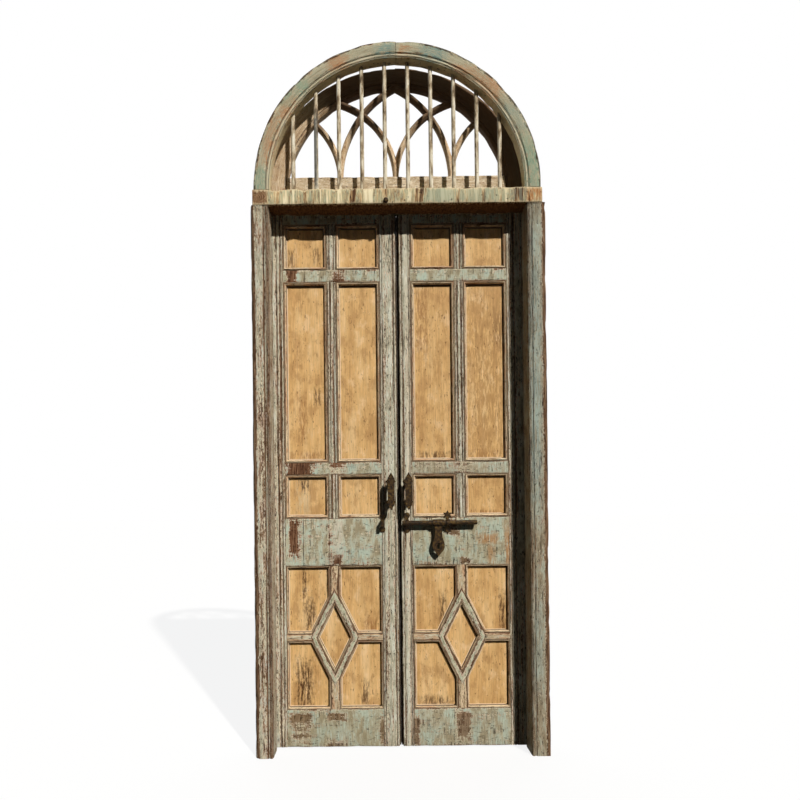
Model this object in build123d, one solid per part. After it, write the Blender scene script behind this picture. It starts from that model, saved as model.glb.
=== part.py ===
"""Arched double door in its frame: two panelled leaves, a transom bar, and a fanlight above it.

Millimetres. +Z is up, +X is to the right seen from the front, and the front faces -Y.
The origin is at the bottom centre. Depths are measured backwards from the front of the posts.
"""
from build123d import *
import math
import os

# Frame timbers
CLEAR_WIDTH = 1128.0
POST_WIDTH = 80.0
POST_DEPTH = 144.0
POST_HEIGHT = 2411.0
POST_BEAD_WIDTH = 16.0
POST_QUIRK = 4.0
REBATE_WIDTH = 12.0
TENON_WIDTH = 40.0
TENON_DEPTH = 60.0
TENON_HEIGHT = 45.0
JOINT_CLEARANCE = 0.4
BAR_HEIGHT = 68.0
BAR_END_SETBACK = 13.0

# Front arch and its guard rods
ARCH_SETBACK = 5.0
ARCH_FACE = 70.0
ARCH_DEPTH = 52.0
ARCH_STILT = 14.0
ARCH_SEGMENTS = 4
ARCH_BEAD = 15.0
ARCH_QUIRK = 5.0
ROD_COUNT = 10
ROD_DIAMETER = 18.0
ROD_PLACE = 34.0
ROD_SEAT = 25.0
ROD_CLEARANCE = 0.15

# Traceried sash behind the rods
SASH_PLACE = 95.0
SASH_DEPTH = 44.0
SASH_FACE = 80.0
SASH_COVER = 21.0
SASH_STILT = 18.0
SASH_RAIL_HEIGHT = 106.0
SASH_STEP_WIDTH = 14.0
SASH_STEP_DEPTH = 4.0
RIB_WIDTH = 26.0
RIB_DEPTH = 34.0
RIB_SPRINGING_SHARE = 0.507
RIB_RADIUS_SHARES = {"apex": 0.938, "centre": 0.72, "outer": 0.684}

# Stud on the transom bar
STUD_DIAMETER = 22.0
STUD_HEIGHT = 12.0
STUD_ROUND_SHARE = 0.7
STUD_PLACE = -50.0
STUD_DROP = 54.0

# Leaves
LEAF_PLACE = 100.0
LEAF_FLOOR_GAP = 6.0
LEAF_EDGE_GAP = 3.0
LEAF_HALF_GAP = 1.3
MEETING_GROOVE_WIDTH = 6.5
MEETING_GROOVE_DEPTH = 16.0
MEETING_LIP_DEPTH = 8.0
MEETING_LIP_HALF_GAP = 0.4
LEFT_HINGE_STILE_SHARE = 0.098
RIGHT_HINGE_STILE_SHARE = 0.1347
MUNTIN_SHARE = 0.0682
PANEL_WAY_SHARE = 0.348
ROW_SHARES = {
    "bottom_rail": 0.0704,
    "diamond_zone": 0.2693,
    "lock_rail": 0.0891,
    "square_panels": 0.0824,
    "middle_rail": 0.0224,
    "tall_panels": 0.3393,
    "upper_rail": 0.0224,
    "top_panels": 0.0853,
    "top_rail": 0.0194,
}
RAIL_TENON = 34.0
RAIL_TENON_THICK = 12.0
RAIL_TENON_SHOULDER = 10.0
REED_WIDTH = 3.0
REED_DEPTH = 3.0
REED_INSET = 26.0
MUNTIN_REED_INSET = 9.0

# Panels and the mouldings that hold them
PANEL_SET = 16.0
PANEL_THICK = 12.0
MOULDING_WIDTH = 15.0
MOULDING_DROP = 8.4
MOULDING_QUIRK_DEPTH = 2.4
MOULDING_QUIRK_SHARES = (0.2, 0.32)
MOULDING_ROUND_SHARES = ((0.6, 0.0), (0.76, 0.18), (0.9, 0.52), (1.0, 1.0))
FINE_MOULDING_WIDTH = 10.0
BACK_BEAD_WIDTH = 10.0
BACK_BEAD_DEPTH = 11.0

# Diamond in the foot of each leaf
DIAMOND_WIDTH_SHARE = 0.499
DIAMOND_HEIGHT_SHARE = 0.683
DIAMOND_BOARD = 25.0
SPOKE_UPRIGHT = 38.0
SPOKE_LEVEL = 32.0

# Butt hinges on the back
HINGE_HEIGHT = 110.0
HINGE_PLATE_WIDTH = 38.0
HINGE_PLATE_THICK = 3.0
HINGE_KNUCKLE_RADIUS = 7.0
HINGE_PIN_RADIUS = 3.5
HINGE_PIN_HEAD = 2.5
HINGE_PIN_CLEARANCE = 0.05
HINGE_END_GAP = 0.4
HINGE_KNUCKLE_MARGIN = 1.2
HINGE_PLACE_SHARES = (0.1, 0.52, 0.92)

# Pull handles
PULL_LENGTH = 170.0
PULL_WIDTH = 30.0
PULL_THICK = 7.0
PULL_POINT = 26.0
PULL_STAND_OFF = 62.0
PULL_ARM = 13.0
PULL_ARM_INSET = 38.0
PULL_ROSE = 34.0
PULL_ROSE_THICK = 3.0
PULL_CENTRE = 39.0
PULL_RISE = 33.0

# Sliding bolt, its brackets and its hasp
BOLT_RADIUS = 10.0
BOLT_LENGTH = 336.0
BOLT_END = 10.5
BOLT_DROP = 23.0
BOLT_STAND_OFF = 24.0
BOLT_TRAVEL = 104.0
BOLT_CHAMFER = 2.0
BOLT_FIT = 0.08
COLLAR_WIDTH = 4.0
COLLAR_RISE = 4.0
BRACKET_WIDTH = 14.0
BRACKET_WALL = 4.5
BRACKET_PLATE = 3.0
BRACKET_REACH = 33.0
FAR_BRACKET = 217.0
STAR_RADIUS = 23.0
STAR_POINTS = 6
STAR_WAIST_SHARE = 0.55
PAD_RADIUS = 14.0
KEEPER_CLEARANCE = 0.7
KEEPER_COVER = 15.5
HASP_REST_GAP = 11.0
HASP_THROWN_GAP = 3.0
HASP_EYE_WALL = 5.0
HASP_THICK = 5.0
HASP_HEAD_WIDTH = 43.0
HASP_WAIST_WIDTH = 32.0
HASP_BELLY_WIDTH = 55.0
HASP_LENGTH = 150.0
HASP_SLOT_WIDTH = 13.0
HASP_SLOT_LENGTH = 27.0
HASP_LEVEL_SHARES = {"waist": 0.32, "shoulder": 0.53, "belly": 0.7, "cheek": 0.87}
HASP_SHOULDER_SHARE = 0.8
HASP_CHEEK_SHARE = 0.62
HASP_END_GAP = 0.4

OVERRUN = 5.0

# Worked out from the sizes above
LEFT = -1
RIGHT = 1
KNUCKLE_BACK = 2 * HINGE_KNUCKLE_RADIUS
FRONT_Y = -(POST_DEPTH + KNUCKLE_BACK - STUD_HEIGHT) / 2
INNER_X = CLEAR_WIDTH / 2
OUTER_X = INNER_X + POST_WIDTH
REBATE_X = INNER_X + REBATE_WIDTH
BAR_HALF = OUTER_X - BAR_END_SETBACK
BAR_TOP = POST_HEIGHT + BAR_HEIGHT
ARCH_CENTRE_Z = BAR_TOP + ARCH_STILT
ARCH_OUTER_RADIUS = BAR_HALF - ARCH_SETBACK
ARCH_INNER_RADIUS = ARCH_OUTER_RADIUS - ARCH_FACE
SASH_CENTRE_Z = BAR_TOP + SASH_STILT
ROD_SOCKET = ROD_DIAMETER / 2 + ROD_CLEARANCE
ROD_SPACING = 2 * ARCH_INNER_RADIUS / (ROD_COUNT + 1)
SASH_OUTER_RADIUS = ARCH_INNER_RADIUS + SASH_COVER
SASH_INNER_RADIUS = SASH_OUTER_RADIUS - SASH_FACE
RIB_SPRINGING = RIB_SPRINGING_SHARE * SASH_INNER_RADIUS
SASH_RAIL_TOP = BAR_TOP + SASH_RAIL_HEIGHT
LEAF_BACK = POST_DEPTH
LEAF_EDGE = REBATE_X - LEAF_EDGE_GAP
LEAF_WIDTH = LEAF_EDGE - LEAF_HALF_GAP
LEAF_TOP = POST_HEIGHT + REBATE_WIDTH - LEAF_EDGE_GAP
LEAF_HEIGHT = LEAF_TOP - LEAF_FLOOR_GAP
LEFT_HINGE_STILE = LEFT_HINGE_STILE_SHARE * LEAF_WIDTH
RIGHT_HINGE_STILE = RIGHT_HINGE_STILE_SHARE * LEAF_WIDTH
MUNTIN = MUNTIN_SHARE * LEAF_WIDTH
PANEL_WAY = PANEL_WAY_SHARE * LEAF_WIDTH
PANEL_FACE = LEAF_PLACE + PANEL_SET
PANEL_BACK = PANEL_FACE + PANEL_THICK
HINGE_X = (REBATE_X + LEAF_EDGE) / 2
HINGE_DEPTH = LEAF_BACK + HINGE_KNUCKLE_RADIUS
BOLT_DEPTH = LEAF_PLACE - BOLT_STAND_OFF
PLATE_FACE = LEAF_PLACE - BRACKET_PLATE
HASP_HALF = HASP_HEAD_WIDTH / 2 + HASP_END_GAP + COLLAR_WIDTH
HASP_PLACE = FAR_BRACKET - BRACKET_WIDTH / 2 - HASP_REST_GAP - HASP_HALF
NEAR_BRACKET = HASP_PLACE - BOLT_TRAVEL - HASP_HALF - HASP_THROWN_GAP - BRACKET_WIDTH / 2
KEEPER_PLACE = BOLT_END - BOLT_TRAVEL + KEEPER_COVER

# Heights of the rows, stacked up from the foot of the leaf
ROWS = {}
row_foot = LEAF_FLOOR_GAP
for row_name, row_share in ROW_SHARES.items():
    row_top = row_foot + row_share / sum(ROW_SHARES.values()) * LEAF_HEIGHT
    ROWS[row_name] = (row_foot, row_top)
    row_foot = row_top
RAIL_HEIGHTS = {name: heights for name, heights in ROWS.items() if name.endswith("rail")}
PANEL_ROWS = {name: heights for name, heights in ROWS.items() if name.endswith("panels")}
Z_FOOT, Z_DIAMOND = ROWS["bottom_rail"]
Z_LOCK, Z_SQUARE = ROWS["lock_rail"]
DIAMOND_WAY = Z_LOCK - Z_DIAMOND
DIAMOND_HALF_WIDTH = DIAMOND_WIDTH_SHARE * (PANEL_WAY + MUNTIN / 2)
DIAMOND_HALF_HEIGHT = DIAMOND_HEIGHT_SHARE * DIAMOND_WAY / 2
BOLT_Z = Z_SQUARE - BOLT_DROP
PULL_Z = Z_SQUARE + PULL_RISE


# Helpers

def save(name, solids):
    """Write one node: a single solid, or a group of separate solids."""
    group = solids if isinstance(solids, list) else [solids]
    pieces = [solid for shape in group for solid in shape.solids()]
    whole = pieces[0] if len(pieces) == 1 else Compound(children=pieces)
    export_step(whole, f"parts/{name}.step")


def block(x0, x1, d0, d1, z0, z1):
    """A box between two X values, two depths and two heights."""
    size = Box(abs(x1 - x0), abs(d1 - d0), abs(z1 - z0))
    return Pos((x0 + x1) / 2, FRONT_Y + (d0 + d1) / 2, (z0 + z1) / 2) * size


def slab(outline, d0, d1):
    """A flat outline, drawn as seen from the front, made thick between two depths."""
    back = Plane((0, FRONT_Y + d1, 0), x_dir=(1, 0, 0), z_dir=(0, -1, 0))
    return extrude(back * outline, amount=d1 - d0)


def upright(x, depth, z0, z1, radius):
    """A round rod standing at one place."""
    return Pos(x, FRONT_Y + depth, (z0 + z1) / 2) * Cylinder(radius, z1 - z0)


def level(x0, x1, depth, z, radius):
    """A round rod lying along X."""
    return Pos((x0 + x1) / 2, FRONT_Y + depth, z) * (Rot(0, 90, 0) * Cylinder(radius, x1 - x0))


def outline_of(points):
    """A closed straight-sided face through points given as (X, Z)."""
    return make_face(Polyline(*points, close=True))


def anticlockwise(points):
    """The same points, turning anticlockwise."""
    pairs = zip(points, points[1:] + points[:1])
    area = sum(a[0] * b[1] - b[0] * a[1] for a, b in pairs)
    return points if area > 0 else points[::-1]


def inset(points, width):
    """The outline drawn again inside itself, with mitred corners, at a distance from every side."""
    ring = anticlockwise(points)
    result = []
    for before, here, after in zip(ring[-1:] + ring[:-1], ring, ring[1:] + ring[:1]):
        into = Vector(here[0] - before[0], here[1] - before[1]).normalized()
        out = Vector(after[0] - here[0], after[1] - here[1]).normalized()
        normal = Vector(-into.Y, into.X) + Vector(-out.Y, out.X)
        reach = width / (1 + into.dot(out))
        result.append((here[0] + normal.X * reach, here[1] + normal.Y * reach))
    return result


# Posts, transom bar and stud

def post(side):
    """Post with a bead and quirk on its inner front edge and a leaf rebate on its inner back edge."""
    radius = POST_BEAD_WIDTH / 2
    front = FRONT_Y
    back = FRONT_Y + POST_DEPTH
    rebate_front = FRONT_Y + LEAF_PLACE
    bead_end = INNER_X + POST_BEAD_WIDTH
    plan = Polyline(
        (INNER_X, front + radius),
        (INNER_X, rebate_front),
        (REBATE_X, rebate_front),
        (REBATE_X, back),
        (OUTER_X, back),
        (OUTER_X, front),
        (bead_end + POST_QUIRK, front),
        (bead_end + POST_QUIRK, front + POST_QUIRK),
        (bead_end, front + POST_QUIRK),
        (bead_end, front + radius),
    )
    crest = (INNER_X + radius, front)
    bead = ThreePointArc((bead_end, front + radius), crest, (INNER_X, front + radius))
    shaft = extrude(make_face(plan.edges() + bead.edges()), amount=POST_HEIGHT)
    tenon_x = (INNER_X + OUTER_X - TENON_WIDTH) / 2
    tenon_d = (POST_DEPTH - TENON_DEPTH) / 2
    tenon = block(tenon_x, tenon_x + TENON_WIDTH, tenon_d, tenon_d + TENON_DEPTH,
                  POST_HEIGHT, POST_HEIGHT + TENON_HEIGHT)
    whole = shaft + tenon
    return whole if side == RIGHT else mirror(whole, about=Plane.YZ)


def rod_places():
    """X of each guard rod, spread evenly about the middle."""
    first = -(ROD_COUNT - 1) / 2
    return [(first + number) * ROD_SPACING for number in range(ROD_COUNT)]


def rod_top(x):
    """Height at which a rod ends, seated in the soffit of the front arch."""
    return ARCH_CENTRE_Z + math.sqrt(ARCH_INNER_RADIUS ** 2 - x ** 2) + ROD_SEAT


def transom_bar():
    """Beam across both posts, with mortises and a leaf rebate below and rod sockets on top."""
    bar = block(-BAR_HALF, BAR_HALF, 0, POST_DEPTH, POST_HEIGHT, BAR_TOP)
    bar -= block(-REBATE_X, REBATE_X, LEAF_PLACE, POST_DEPTH + OVERRUN,
                 POST_HEIGHT - OVERRUN, POST_HEIGHT + REBATE_WIDTH)
    middle_x = (INNER_X + OUTER_X) / 2
    half = TENON_WIDTH / 2 + JOINT_CLEARANCE
    front = (POST_DEPTH - TENON_DEPTH) / 2 - JOINT_CLEARANCE
    for side in (LEFT, RIGHT):
        bar -= block(side * middle_x - half, side * middle_x + half, front, POST_DEPTH - front,
                     POST_HEIGHT - OVERRUN, POST_HEIGHT + TENON_HEIGHT + JOINT_CLEARANCE)
    for x in rod_places():
        bar -= upright(x, ROD_PLACE, BAR_TOP - ROD_SEAT, BAR_TOP + OVERRUN, ROD_SOCKET)
    return bar


def bar_stud():
    """Round-nosed iron stud, seated on the front of the transom bar."""
    nose = Rot(90, 0, 0) * Cylinder(STUD_DIAMETER / 2, STUD_HEIGHT)
    nose = fillet(nose.edges().sort_by(Axis.Y)[0], STUD_ROUND_SHARE * STUD_HEIGHT)
    return Pos(STUD_PLACE, FRONT_Y - STUD_HEIGHT / 2, BAR_TOP - STUD_DROP) * nose


# Front arch and guard rods

def arch_ring(inner, outer, centre_z, stilt):
    """Half ring as seen from the front, standing on two straight legs as tall as the stilt."""
    shape = Circle(outer) - Circle(inner)
    upper = Pos(0, outer / 2) * Rectangle(2 * outer, outer)
    legs = Pos(0, -stilt / 2) * (Rectangle(2 * outer, stilt) - Rectangle(2 * inner, stilt))
    return Pos(0, centre_z) * ((shape & upper) + legs)


def wedge(start, end, radius, centre_z):
    """Pie slice between two angles, used to part an arch into its segments."""
    reach = 2 * radius
    points = [(0, 0)]
    for angle in (start, (start + end) / 2, end):
        points.append((reach * math.cos(math.radians(angle)), reach * math.sin(math.radians(angle))))
    return Pos(0, centre_z) * outline_of(points)


def front_arch():
    """Full front arch with a quirk and a lowered bead along its inner front edge."""
    whole = arch_ring(ARCH_INNER_RADIUS, ARCH_OUTER_RADIUS, ARCH_CENTRE_Z, ARCH_STILT)
    ring = slab(whole, 0, ARCH_DEPTH)
    bead_outer = ARCH_INNER_RADIUS + ARCH_BEAD
    quirk = arch_ring(bead_outer, bead_outer + ARCH_QUIRK, ARCH_CENTRE_Z, ARCH_STILT)
    ring -= slab(quirk, -OVERRUN, ARCH_QUIRK)
    lowered = ARCH_INNER_RADIUS + ARCH_QUIRK
    soffit_edge = arch_ring(ARCH_INNER_RADIUS, lowered, ARCH_CENTRE_Z, ARCH_STILT)
    ring -= slab(soffit_edge, -OVERRUN, ARCH_QUIRK)
    for x in rod_places():
        ring -= upright(x, ROD_PLACE, BAR_TOP, rod_top(x) + JOINT_CLEARANCE, ROD_SOCKET)
    return ring


def arch_segments():
    """The arch parted into equal segments, from right to left; the outer two keep the legs."""
    ring = front_arch()
    step = 180 / ARCH_SEGMENTS
    segments = []
    for number in range(ARCH_SEGMENTS):
        start = number * step
        end = start + step
        first = start - step if number == 0 else start
        last = end + step if number == ARCH_SEGMENTS - 1 else end
        part = wedge(first, last, ARCH_OUTER_RADIUS, ARCH_CENTRE_Z)
        segments.append(ring & slab(part, -OVERRUN, ARCH_DEPTH + OVERRUN))
    return segments


def guard_rods():
    """Upright rods, each seated in the bar below and the arch above."""
    foot = BAR_TOP - ROD_SEAT
    return [upright(x, ROD_PLACE, foot, rod_top(x), ROD_DIAMETER / 2) for x in rod_places()]


# Rear sash with intersecting tracery

def sash_half(side):
    """One half of the arched sash frame, from the bar to the crown, stepped along its inner edge."""
    ring = arch_ring(SASH_INNER_RADIUS, SASH_OUTER_RADIUS, SASH_CENTRE_Z, SASH_STILT)
    width = SASH_OUTER_RADIUS
    height = SASH_OUTER_RADIUS + SASH_STILT
    cover = Pos(side * width / 2, BAR_TOP + height / 2) * Rectangle(width, height)
    half = slab(ring & cover, SASH_PLACE, SASH_PLACE + SASH_DEPTH)
    stepped = arch_ring(SASH_INNER_RADIUS, SASH_INNER_RADIUS + SASH_STEP_WIDTH, SASH_CENTRE_Z, SASH_STILT)
    return half - slab(stepped, SASH_PLACE - OVERRUN, SASH_PLACE + SASH_STEP_DEPTH)


def sash_light():
    """The opening inside the arched sash frame, above its bottom rail."""
    height = SASH_INNER_RADIUS + SASH_STILT - SASH_RAIL_HEIGHT
    above = Pos(0, SASH_RAIL_TOP + height / 2) * Rectangle(2 * SASH_INNER_RADIUS, height)
    return (Pos(0, SASH_CENTRE_Z) * Circle(SASH_INNER_RADIUS)) & above


def sash_rail():
    """Bottom rail of the sash, fitted between the feet of the arch."""
    inside = Pos(0, SASH_CENTRE_Z) * (Circle(SASH_INNER_RADIUS) + Pos(0, -SASH_STILT / 2) * Rectangle(
        2 * SASH_INNER_RADIUS, SASH_STILT))
    height = SASH_RAIL_HEIGHT
    strip = Pos(0, BAR_TOP + height / 2) * Rectangle(2 * SASH_INNER_RADIUS, height)
    return slab(inside & strip, SASH_PLACE, SASH_PLACE + SASH_DEPTH)


def rib(springing, lean, radius):
    """Curved rib that starts upright at its springing and leans left (-1) or right (1) to the frame."""
    centre = springing + lean * radius
    band = Circle(radius + RIB_WIDTH / 2) - Circle(radius - RIB_WIDTH / 2)
    reach = 2 * SASH_INNER_RADIUS
    side_x = springing + lean * reach / 2
    strip = Pos(side_x, SASH_RAIL_TOP) * Rectangle(reach, 2 * reach)
    shape = (Pos(centre, SASH_RAIL_TOP) * band) & sash_light() & strip
    if springing * lean < 0:
        own_side = Pos(math.copysign(reach / 2, springing), SASH_RAIL_TOP) * Rectangle(reach, 2 * reach)
        shape = shape & own_side
    else:
        near_x = springing + lean * radius / 2
        shape = shape & (Pos(near_x, SASH_RAIL_TOP) * Rectangle(radius, 2 * reach))
    return shape


def tracery():
    """Six ribs from three springings, half-lapped in depth where the inner ones cross."""
    place = SASH_PLACE + (SASH_DEPTH - RIB_DEPTH) / 2
    middle = place + RIB_DEPTH / 2
    back = place + RIB_DEPTH
    left_ribs = []
    right_ribs = []
    for side, group in ((LEFT, left_ribs), (RIGHT, right_ribs)):
        springing = side * RIB_SPRINGING
        apex = rib(springing, -side, RIB_RADIUS_SHARES["apex"] * SASH_INNER_RADIUS)
        centre = rib(0, side, RIB_RADIUS_SHARES["centre"] * SASH_INNER_RADIUS)
        outer = rib(springing, side, RIB_RADIUS_SHARES["outer"] * SASH_INNER_RADIUS)
        crossing = apex & centre
        group.append(slab(apex, place, back) - slab(crossing, middle, back))
        group.append(slab(centre, place, back) - slab(crossing, place, middle))
        group.append(slab(outer, place, back))
    return left_ribs, right_ribs


# Leaves

def leaf_x(side, u):
    """X of a place counted from the leaf's hinge edge towards its meeting edge."""
    return side * (LEAF_EDGE - u)


def leaf_board(side, u0, u1, z0, z1, d0=LEAF_PLACE, d1=LEAF_BACK):
    """A board of the leaf between two distances from the hinge edge."""
    return block(leaf_x(side, u0), leaf_x(side, u1), d0, d1, z0, z1)


def reed(side, u, z0, z1):
    """Narrow upright groove in the face of the leaf."""
    return leaf_board(side, u, u + REED_WIDTH, z0, z1, LEAF_PLACE - OVERRUN, LEAF_PLACE + REED_DEPTH)


def stile_edges(side):
    """Distances from the hinge edge at which each upright of the leaf starts and ends."""
    hinge = LEFT_HINGE_STILE if side == LEFT else RIGHT_HINGE_STILE
    muntin = hinge + PANEL_WAY
    meeting = muntin + MUNTIN + PANEL_WAY
    return hinge, muntin, muntin + MUNTIN, meeting


def rail_tenon(side, u0, u1, z0, z1, clearance):
    """Tenon of a rail, or with a clearance the mortise that takes it."""
    middle = (LEAF_PLACE + LEAF_BACK) / 2
    half = RAIL_TENON_THICK / 2 + clearance
    return leaf_board(side, u0 - clearance, u1 + clearance, z0 + RAIL_TENON_SHOULDER - clearance,
                      z1 - RAIL_TENON_SHOULDER + clearance, middle - half, middle + half)


def stiles(side):
    """Hinge stile and meeting stile, mortised for the rails and reeded on the face.

    A thin lip along the back of the meeting edge closes the gap. It lies so near the hinge's depth that
    it hardly comes forward as the leaf swings.
    """
    hinge, _, _, meeting = stile_edges(side)
    hinge_stile = leaf_board(side, 0, hinge, Z_FOOT, LEAF_TOP)
    meeting_stile = leaf_board(side, meeting, LEAF_WIDTH, Z_FOOT, LEAF_TOP)
    meeting_stile += leaf_board(side, meeting, LEAF_WIDTH + LEAF_HALF_GAP - MEETING_LIP_HALF_GAP,
                                Z_FOOT, LEAF_TOP, LEAF_BACK - MEETING_LIP_DEPTH, LEAF_BACK)
    meeting_stile -= leaf_board(side, LEAF_WIDTH - MEETING_GROOVE_WIDTH, LEAF_WIDTH + OVERRUN,
                                Z_FOOT - OVERRUN, LEAF_TOP + OVERRUN,
                                LEAF_PLACE - OVERRUN, LEAF_PLACE + MEETING_GROOVE_DEPTH)
    hinge_stile -= reed(side, REED_INSET, Z_DIAMOND, LEAF_TOP + OVERRUN)
    meeting_stile -= reed(side, LEAF_WIDTH - MEETING_GROOVE_WIDTH - REED_INSET, Z_FOOT - OVERRUN,
                          LEAF_TOP + OVERRUN)
    for z0, z1 in RAIL_HEIGHTS.values():
        hinge_stile -= rail_tenon(side, hinge - RAIL_TENON, hinge + OVERRUN, z0, z1, JOINT_CLEARANCE)
        meeting_stile -= rail_tenon(side, meeting - OVERRUN, meeting + RAIL_TENON, z0, z1,
                                    JOINT_CLEARANCE)
    return hinge_stile, meeting_stile


def rail(side, z0, z1):
    """Rail between the stiles, with a tenon at each end."""
    hinge, _, _, meeting = stile_edges(side)
    board = leaf_board(side, hinge, meeting, z0, z1)
    return board + rail_tenon(side, hinge - RAIL_TENON, meeting + RAIL_TENON, z0, z1, 0)


def muntins(side):
    """Short uprights between the panels of each row, reeded along both edges."""
    _, start, end, _ = stile_edges(side)
    pieces = []
    for z0, z1 in PANEL_ROWS.values():
        piece = leaf_board(side, start, end, z0, z1)
        for u in (start + MUNTIN_REED_INSET, end - MUNTIN_REED_INSET - REED_WIDTH):
            piece -= reed(side, u, z0 - OVERRUN, z1 + OVERRUN)
        pieces.append(piece)
    return pieces


def row_outlines(side, z0, z1):
    """Outlines of the two openings in one row of panels."""
    hinge, start, end, meeting = stile_edges(side)
    outlines = []
    for u0, u1 in ((hinge, start), (end, meeting)):
        x0, x1 = sorted((leaf_x(side, u0), leaf_x(side, u1)))
        outlines.append([(x0, z0), (x1, z0), (x1, z1), (x0, z1)])
    return outlines


def diamond_middle(side):
    """Centre of the diamond, as X and Z."""
    hinge, _, _, meeting = stile_edges(side)
    return leaf_x(side, (hinge + meeting) / 2), (Z_DIAMOND + Z_LOCK) / 2


def diamond_outline(side):
    """Outer corners of the diamond boards."""
    x, z = diamond_middle(side)
    return [(x + DIAMOND_HALF_WIDTH, z), (x, z + DIAMOND_HALF_HEIGHT),
            (x - DIAMOND_HALF_WIDTH, z), (x, z - DIAMOND_HALF_HEIGHT)]


def corner_outline(side, across, up):
    """Five-sided opening between two spokes, the diamond and one corner of the leaf's foot."""
    x, z = diamond_middle(side)
    half_way = PANEL_WAY + MUNTIN / 2
    half_v = SPOKE_UPRIGHT / 2
    half_h = SPOKE_LEVEL / 2
    on_level = DIAMOND_HALF_WIDTH * (1 - half_h / DIAMOND_HALF_HEIGHT)
    on_upright = DIAMOND_HALF_HEIGHT * (1 - half_v / DIAMOND_HALF_WIDTH)
    points = [(half_way, DIAMOND_WAY / 2), (half_v, DIAMOND_WAY / 2), (half_v, on_upright),
              (on_level, half_h), (half_way, half_h)]
    return [(x + across * px, z + up * pz) for px, pz in points]


def corner_outlines(side):
    """The four corner openings round the diamond."""
    return [corner_outline(side, across, up) for up in (1, -1) for across in (-1, 1)]


def diamond_boards(side):
    """Four boards mitred into a diamond."""
    outer = anticlockwise(diamond_outline(side))
    inner = inset(outer, DIAMOND_BOARD)
    boards = []
    for number in range(len(outer)):
        after = (number + 1) % len(outer)
        quad = [outer[number], outer[after], inner[after], inner[number]]
        boards.append(slab(outline_of(quad), LEAF_PLACE, LEAF_BACK))
    return boards


def spokes(side):
    """Two upright and two level spokes from the leaf's frame to the diamond."""
    x, z = diamond_middle(side)
    half_way = PANEL_WAY + MUNTIN / 2
    diamond = slab(outline_of(diamond_outline(side)), LEAF_PLACE - OVERRUN, LEAF_BACK + OVERRUN)
    pieces = []
    for sign in (1, -1):
        stem = block(x - SPOKE_UPRIGHT / 2, x + SPOKE_UPRIGHT / 2, LEAF_PLACE, LEAF_BACK,
                     z, z + sign * DIAMOND_WAY / 2)
        arm = block(x, x + sign * half_way, LEAF_PLACE, LEAF_BACK,
                    z - SPOKE_LEVEL / 2, z + SPOKE_LEVEL / 2)
        pieces += [stem - diamond, arm - diamond]
    return pieces


def moulding(points, width):
    """Mitred moulding lying in an opening: a flat fillet, a quirk, then a round down towards the panel."""
    inner = inset(points, width)
    ring = slab(outline_of(anticlockwise(points)) - outline_of(inner), LEAF_PLACE, PANEL_FACE)
    near, far = [outline_of(inset(points, share * width)) for share in MOULDING_QUIRK_SHARES]
    ring -= slab(near - far, LEAF_PLACE - OVERRUN, LEAF_PLACE + MOULDING_QUIRK_DEPTH)
    planes = []
    for across, down in MOULDING_ROUND_SHARES:
        depth = LEAF_PLACE + down * MOULDING_DROP
        face_plane = Plane((0, FRONT_Y + depth, 0), x_dir=(1, 0, 0), z_dir=(0, -1, 0))
        planes.append(face_plane * outline_of(inset(points, across * width)))
    return ring - loft(planes, ruled=True)


def back_bead(points):
    """Square bead that holds the panel from behind."""
    ring = outline_of(anticlockwise(points)) - outline_of(inset(points, BACK_BEAD_WIDTH))
    return slab(ring, PANEL_BACK, PANEL_BACK + BACK_BEAD_DEPTH)


def panel(points):
    """Flat board that fills an opening behind its moulding."""
    return slab(outline_of(anticlockwise(points)), PANEL_FACE, PANEL_BACK)


# Butt hinges

def hinge_places():
    """Height of the middle of each hinge, the same on both leaves."""
    return [LEAF_FLOOR_GAP + share * LEAF_HEIGHT for share in HINGE_PLACE_SHARES]


def hinge_third(z, number):
    """Lower and upper end of one of the three knuckles, with a gap between neighbours."""
    third = HINGE_HEIGHT / 3
    z0 = z - HINGE_HEIGHT / 2 + number * third
    return z0 + HINGE_END_GAP / 2, z0 + third - HINGE_END_GAP / 2


def hinge_plate(side, z, thirds, toward_post):
    """Plate on the back face, with its share of the knuckles round the pin."""
    axis_x = side * HINGE_X
    away = side if toward_post else -side
    start = axis_x + away * (HINGE_KNUCKLE_RADIUS + HINGE_KNUCKLE_MARGIN)
    end = start + away * HINGE_PLATE_WIDTH
    plate_back = LEAF_BACK + HINGE_PLATE_THICK
    plate = block(start, end, LEAF_BACK, plate_back, z - HINGE_HEIGHT / 2, z + HINGE_HEIGHT / 2)
    for number in thirds:
        z0, z1 = hinge_third(z, number)
        plate += block(axis_x, start, LEAF_BACK, plate_back, z0, z1)
        plate += upright(axis_x, HINGE_DEPTH, z0, z1, HINGE_KNUCKLE_RADIUS)
    bore = HINGE_PIN_RADIUS + HINGE_PIN_CLEARANCE
    return plate - upright(axis_x, HINGE_DEPTH, z - HINGE_HEIGHT, z + HINGE_HEIGHT, bore)


def hinge_pin(side, z):
    """Pin through the three knuckles, hung from a flat head."""
    top = z + HINGE_HEIGHT / 2
    shaft = upright(side * HINGE_X, HINGE_DEPTH, z - HINGE_HEIGHT / 2, top, HINGE_PIN_RADIUS)
    head_radius = (HINGE_PIN_RADIUS + HINGE_KNUCKLE_RADIUS) / 2
    return shaft + upright(side * HINGE_X, HINGE_DEPTH, top, top + HINGE_PIN_HEAD, head_radius)


# Pull handles, bolt and hasp

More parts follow.
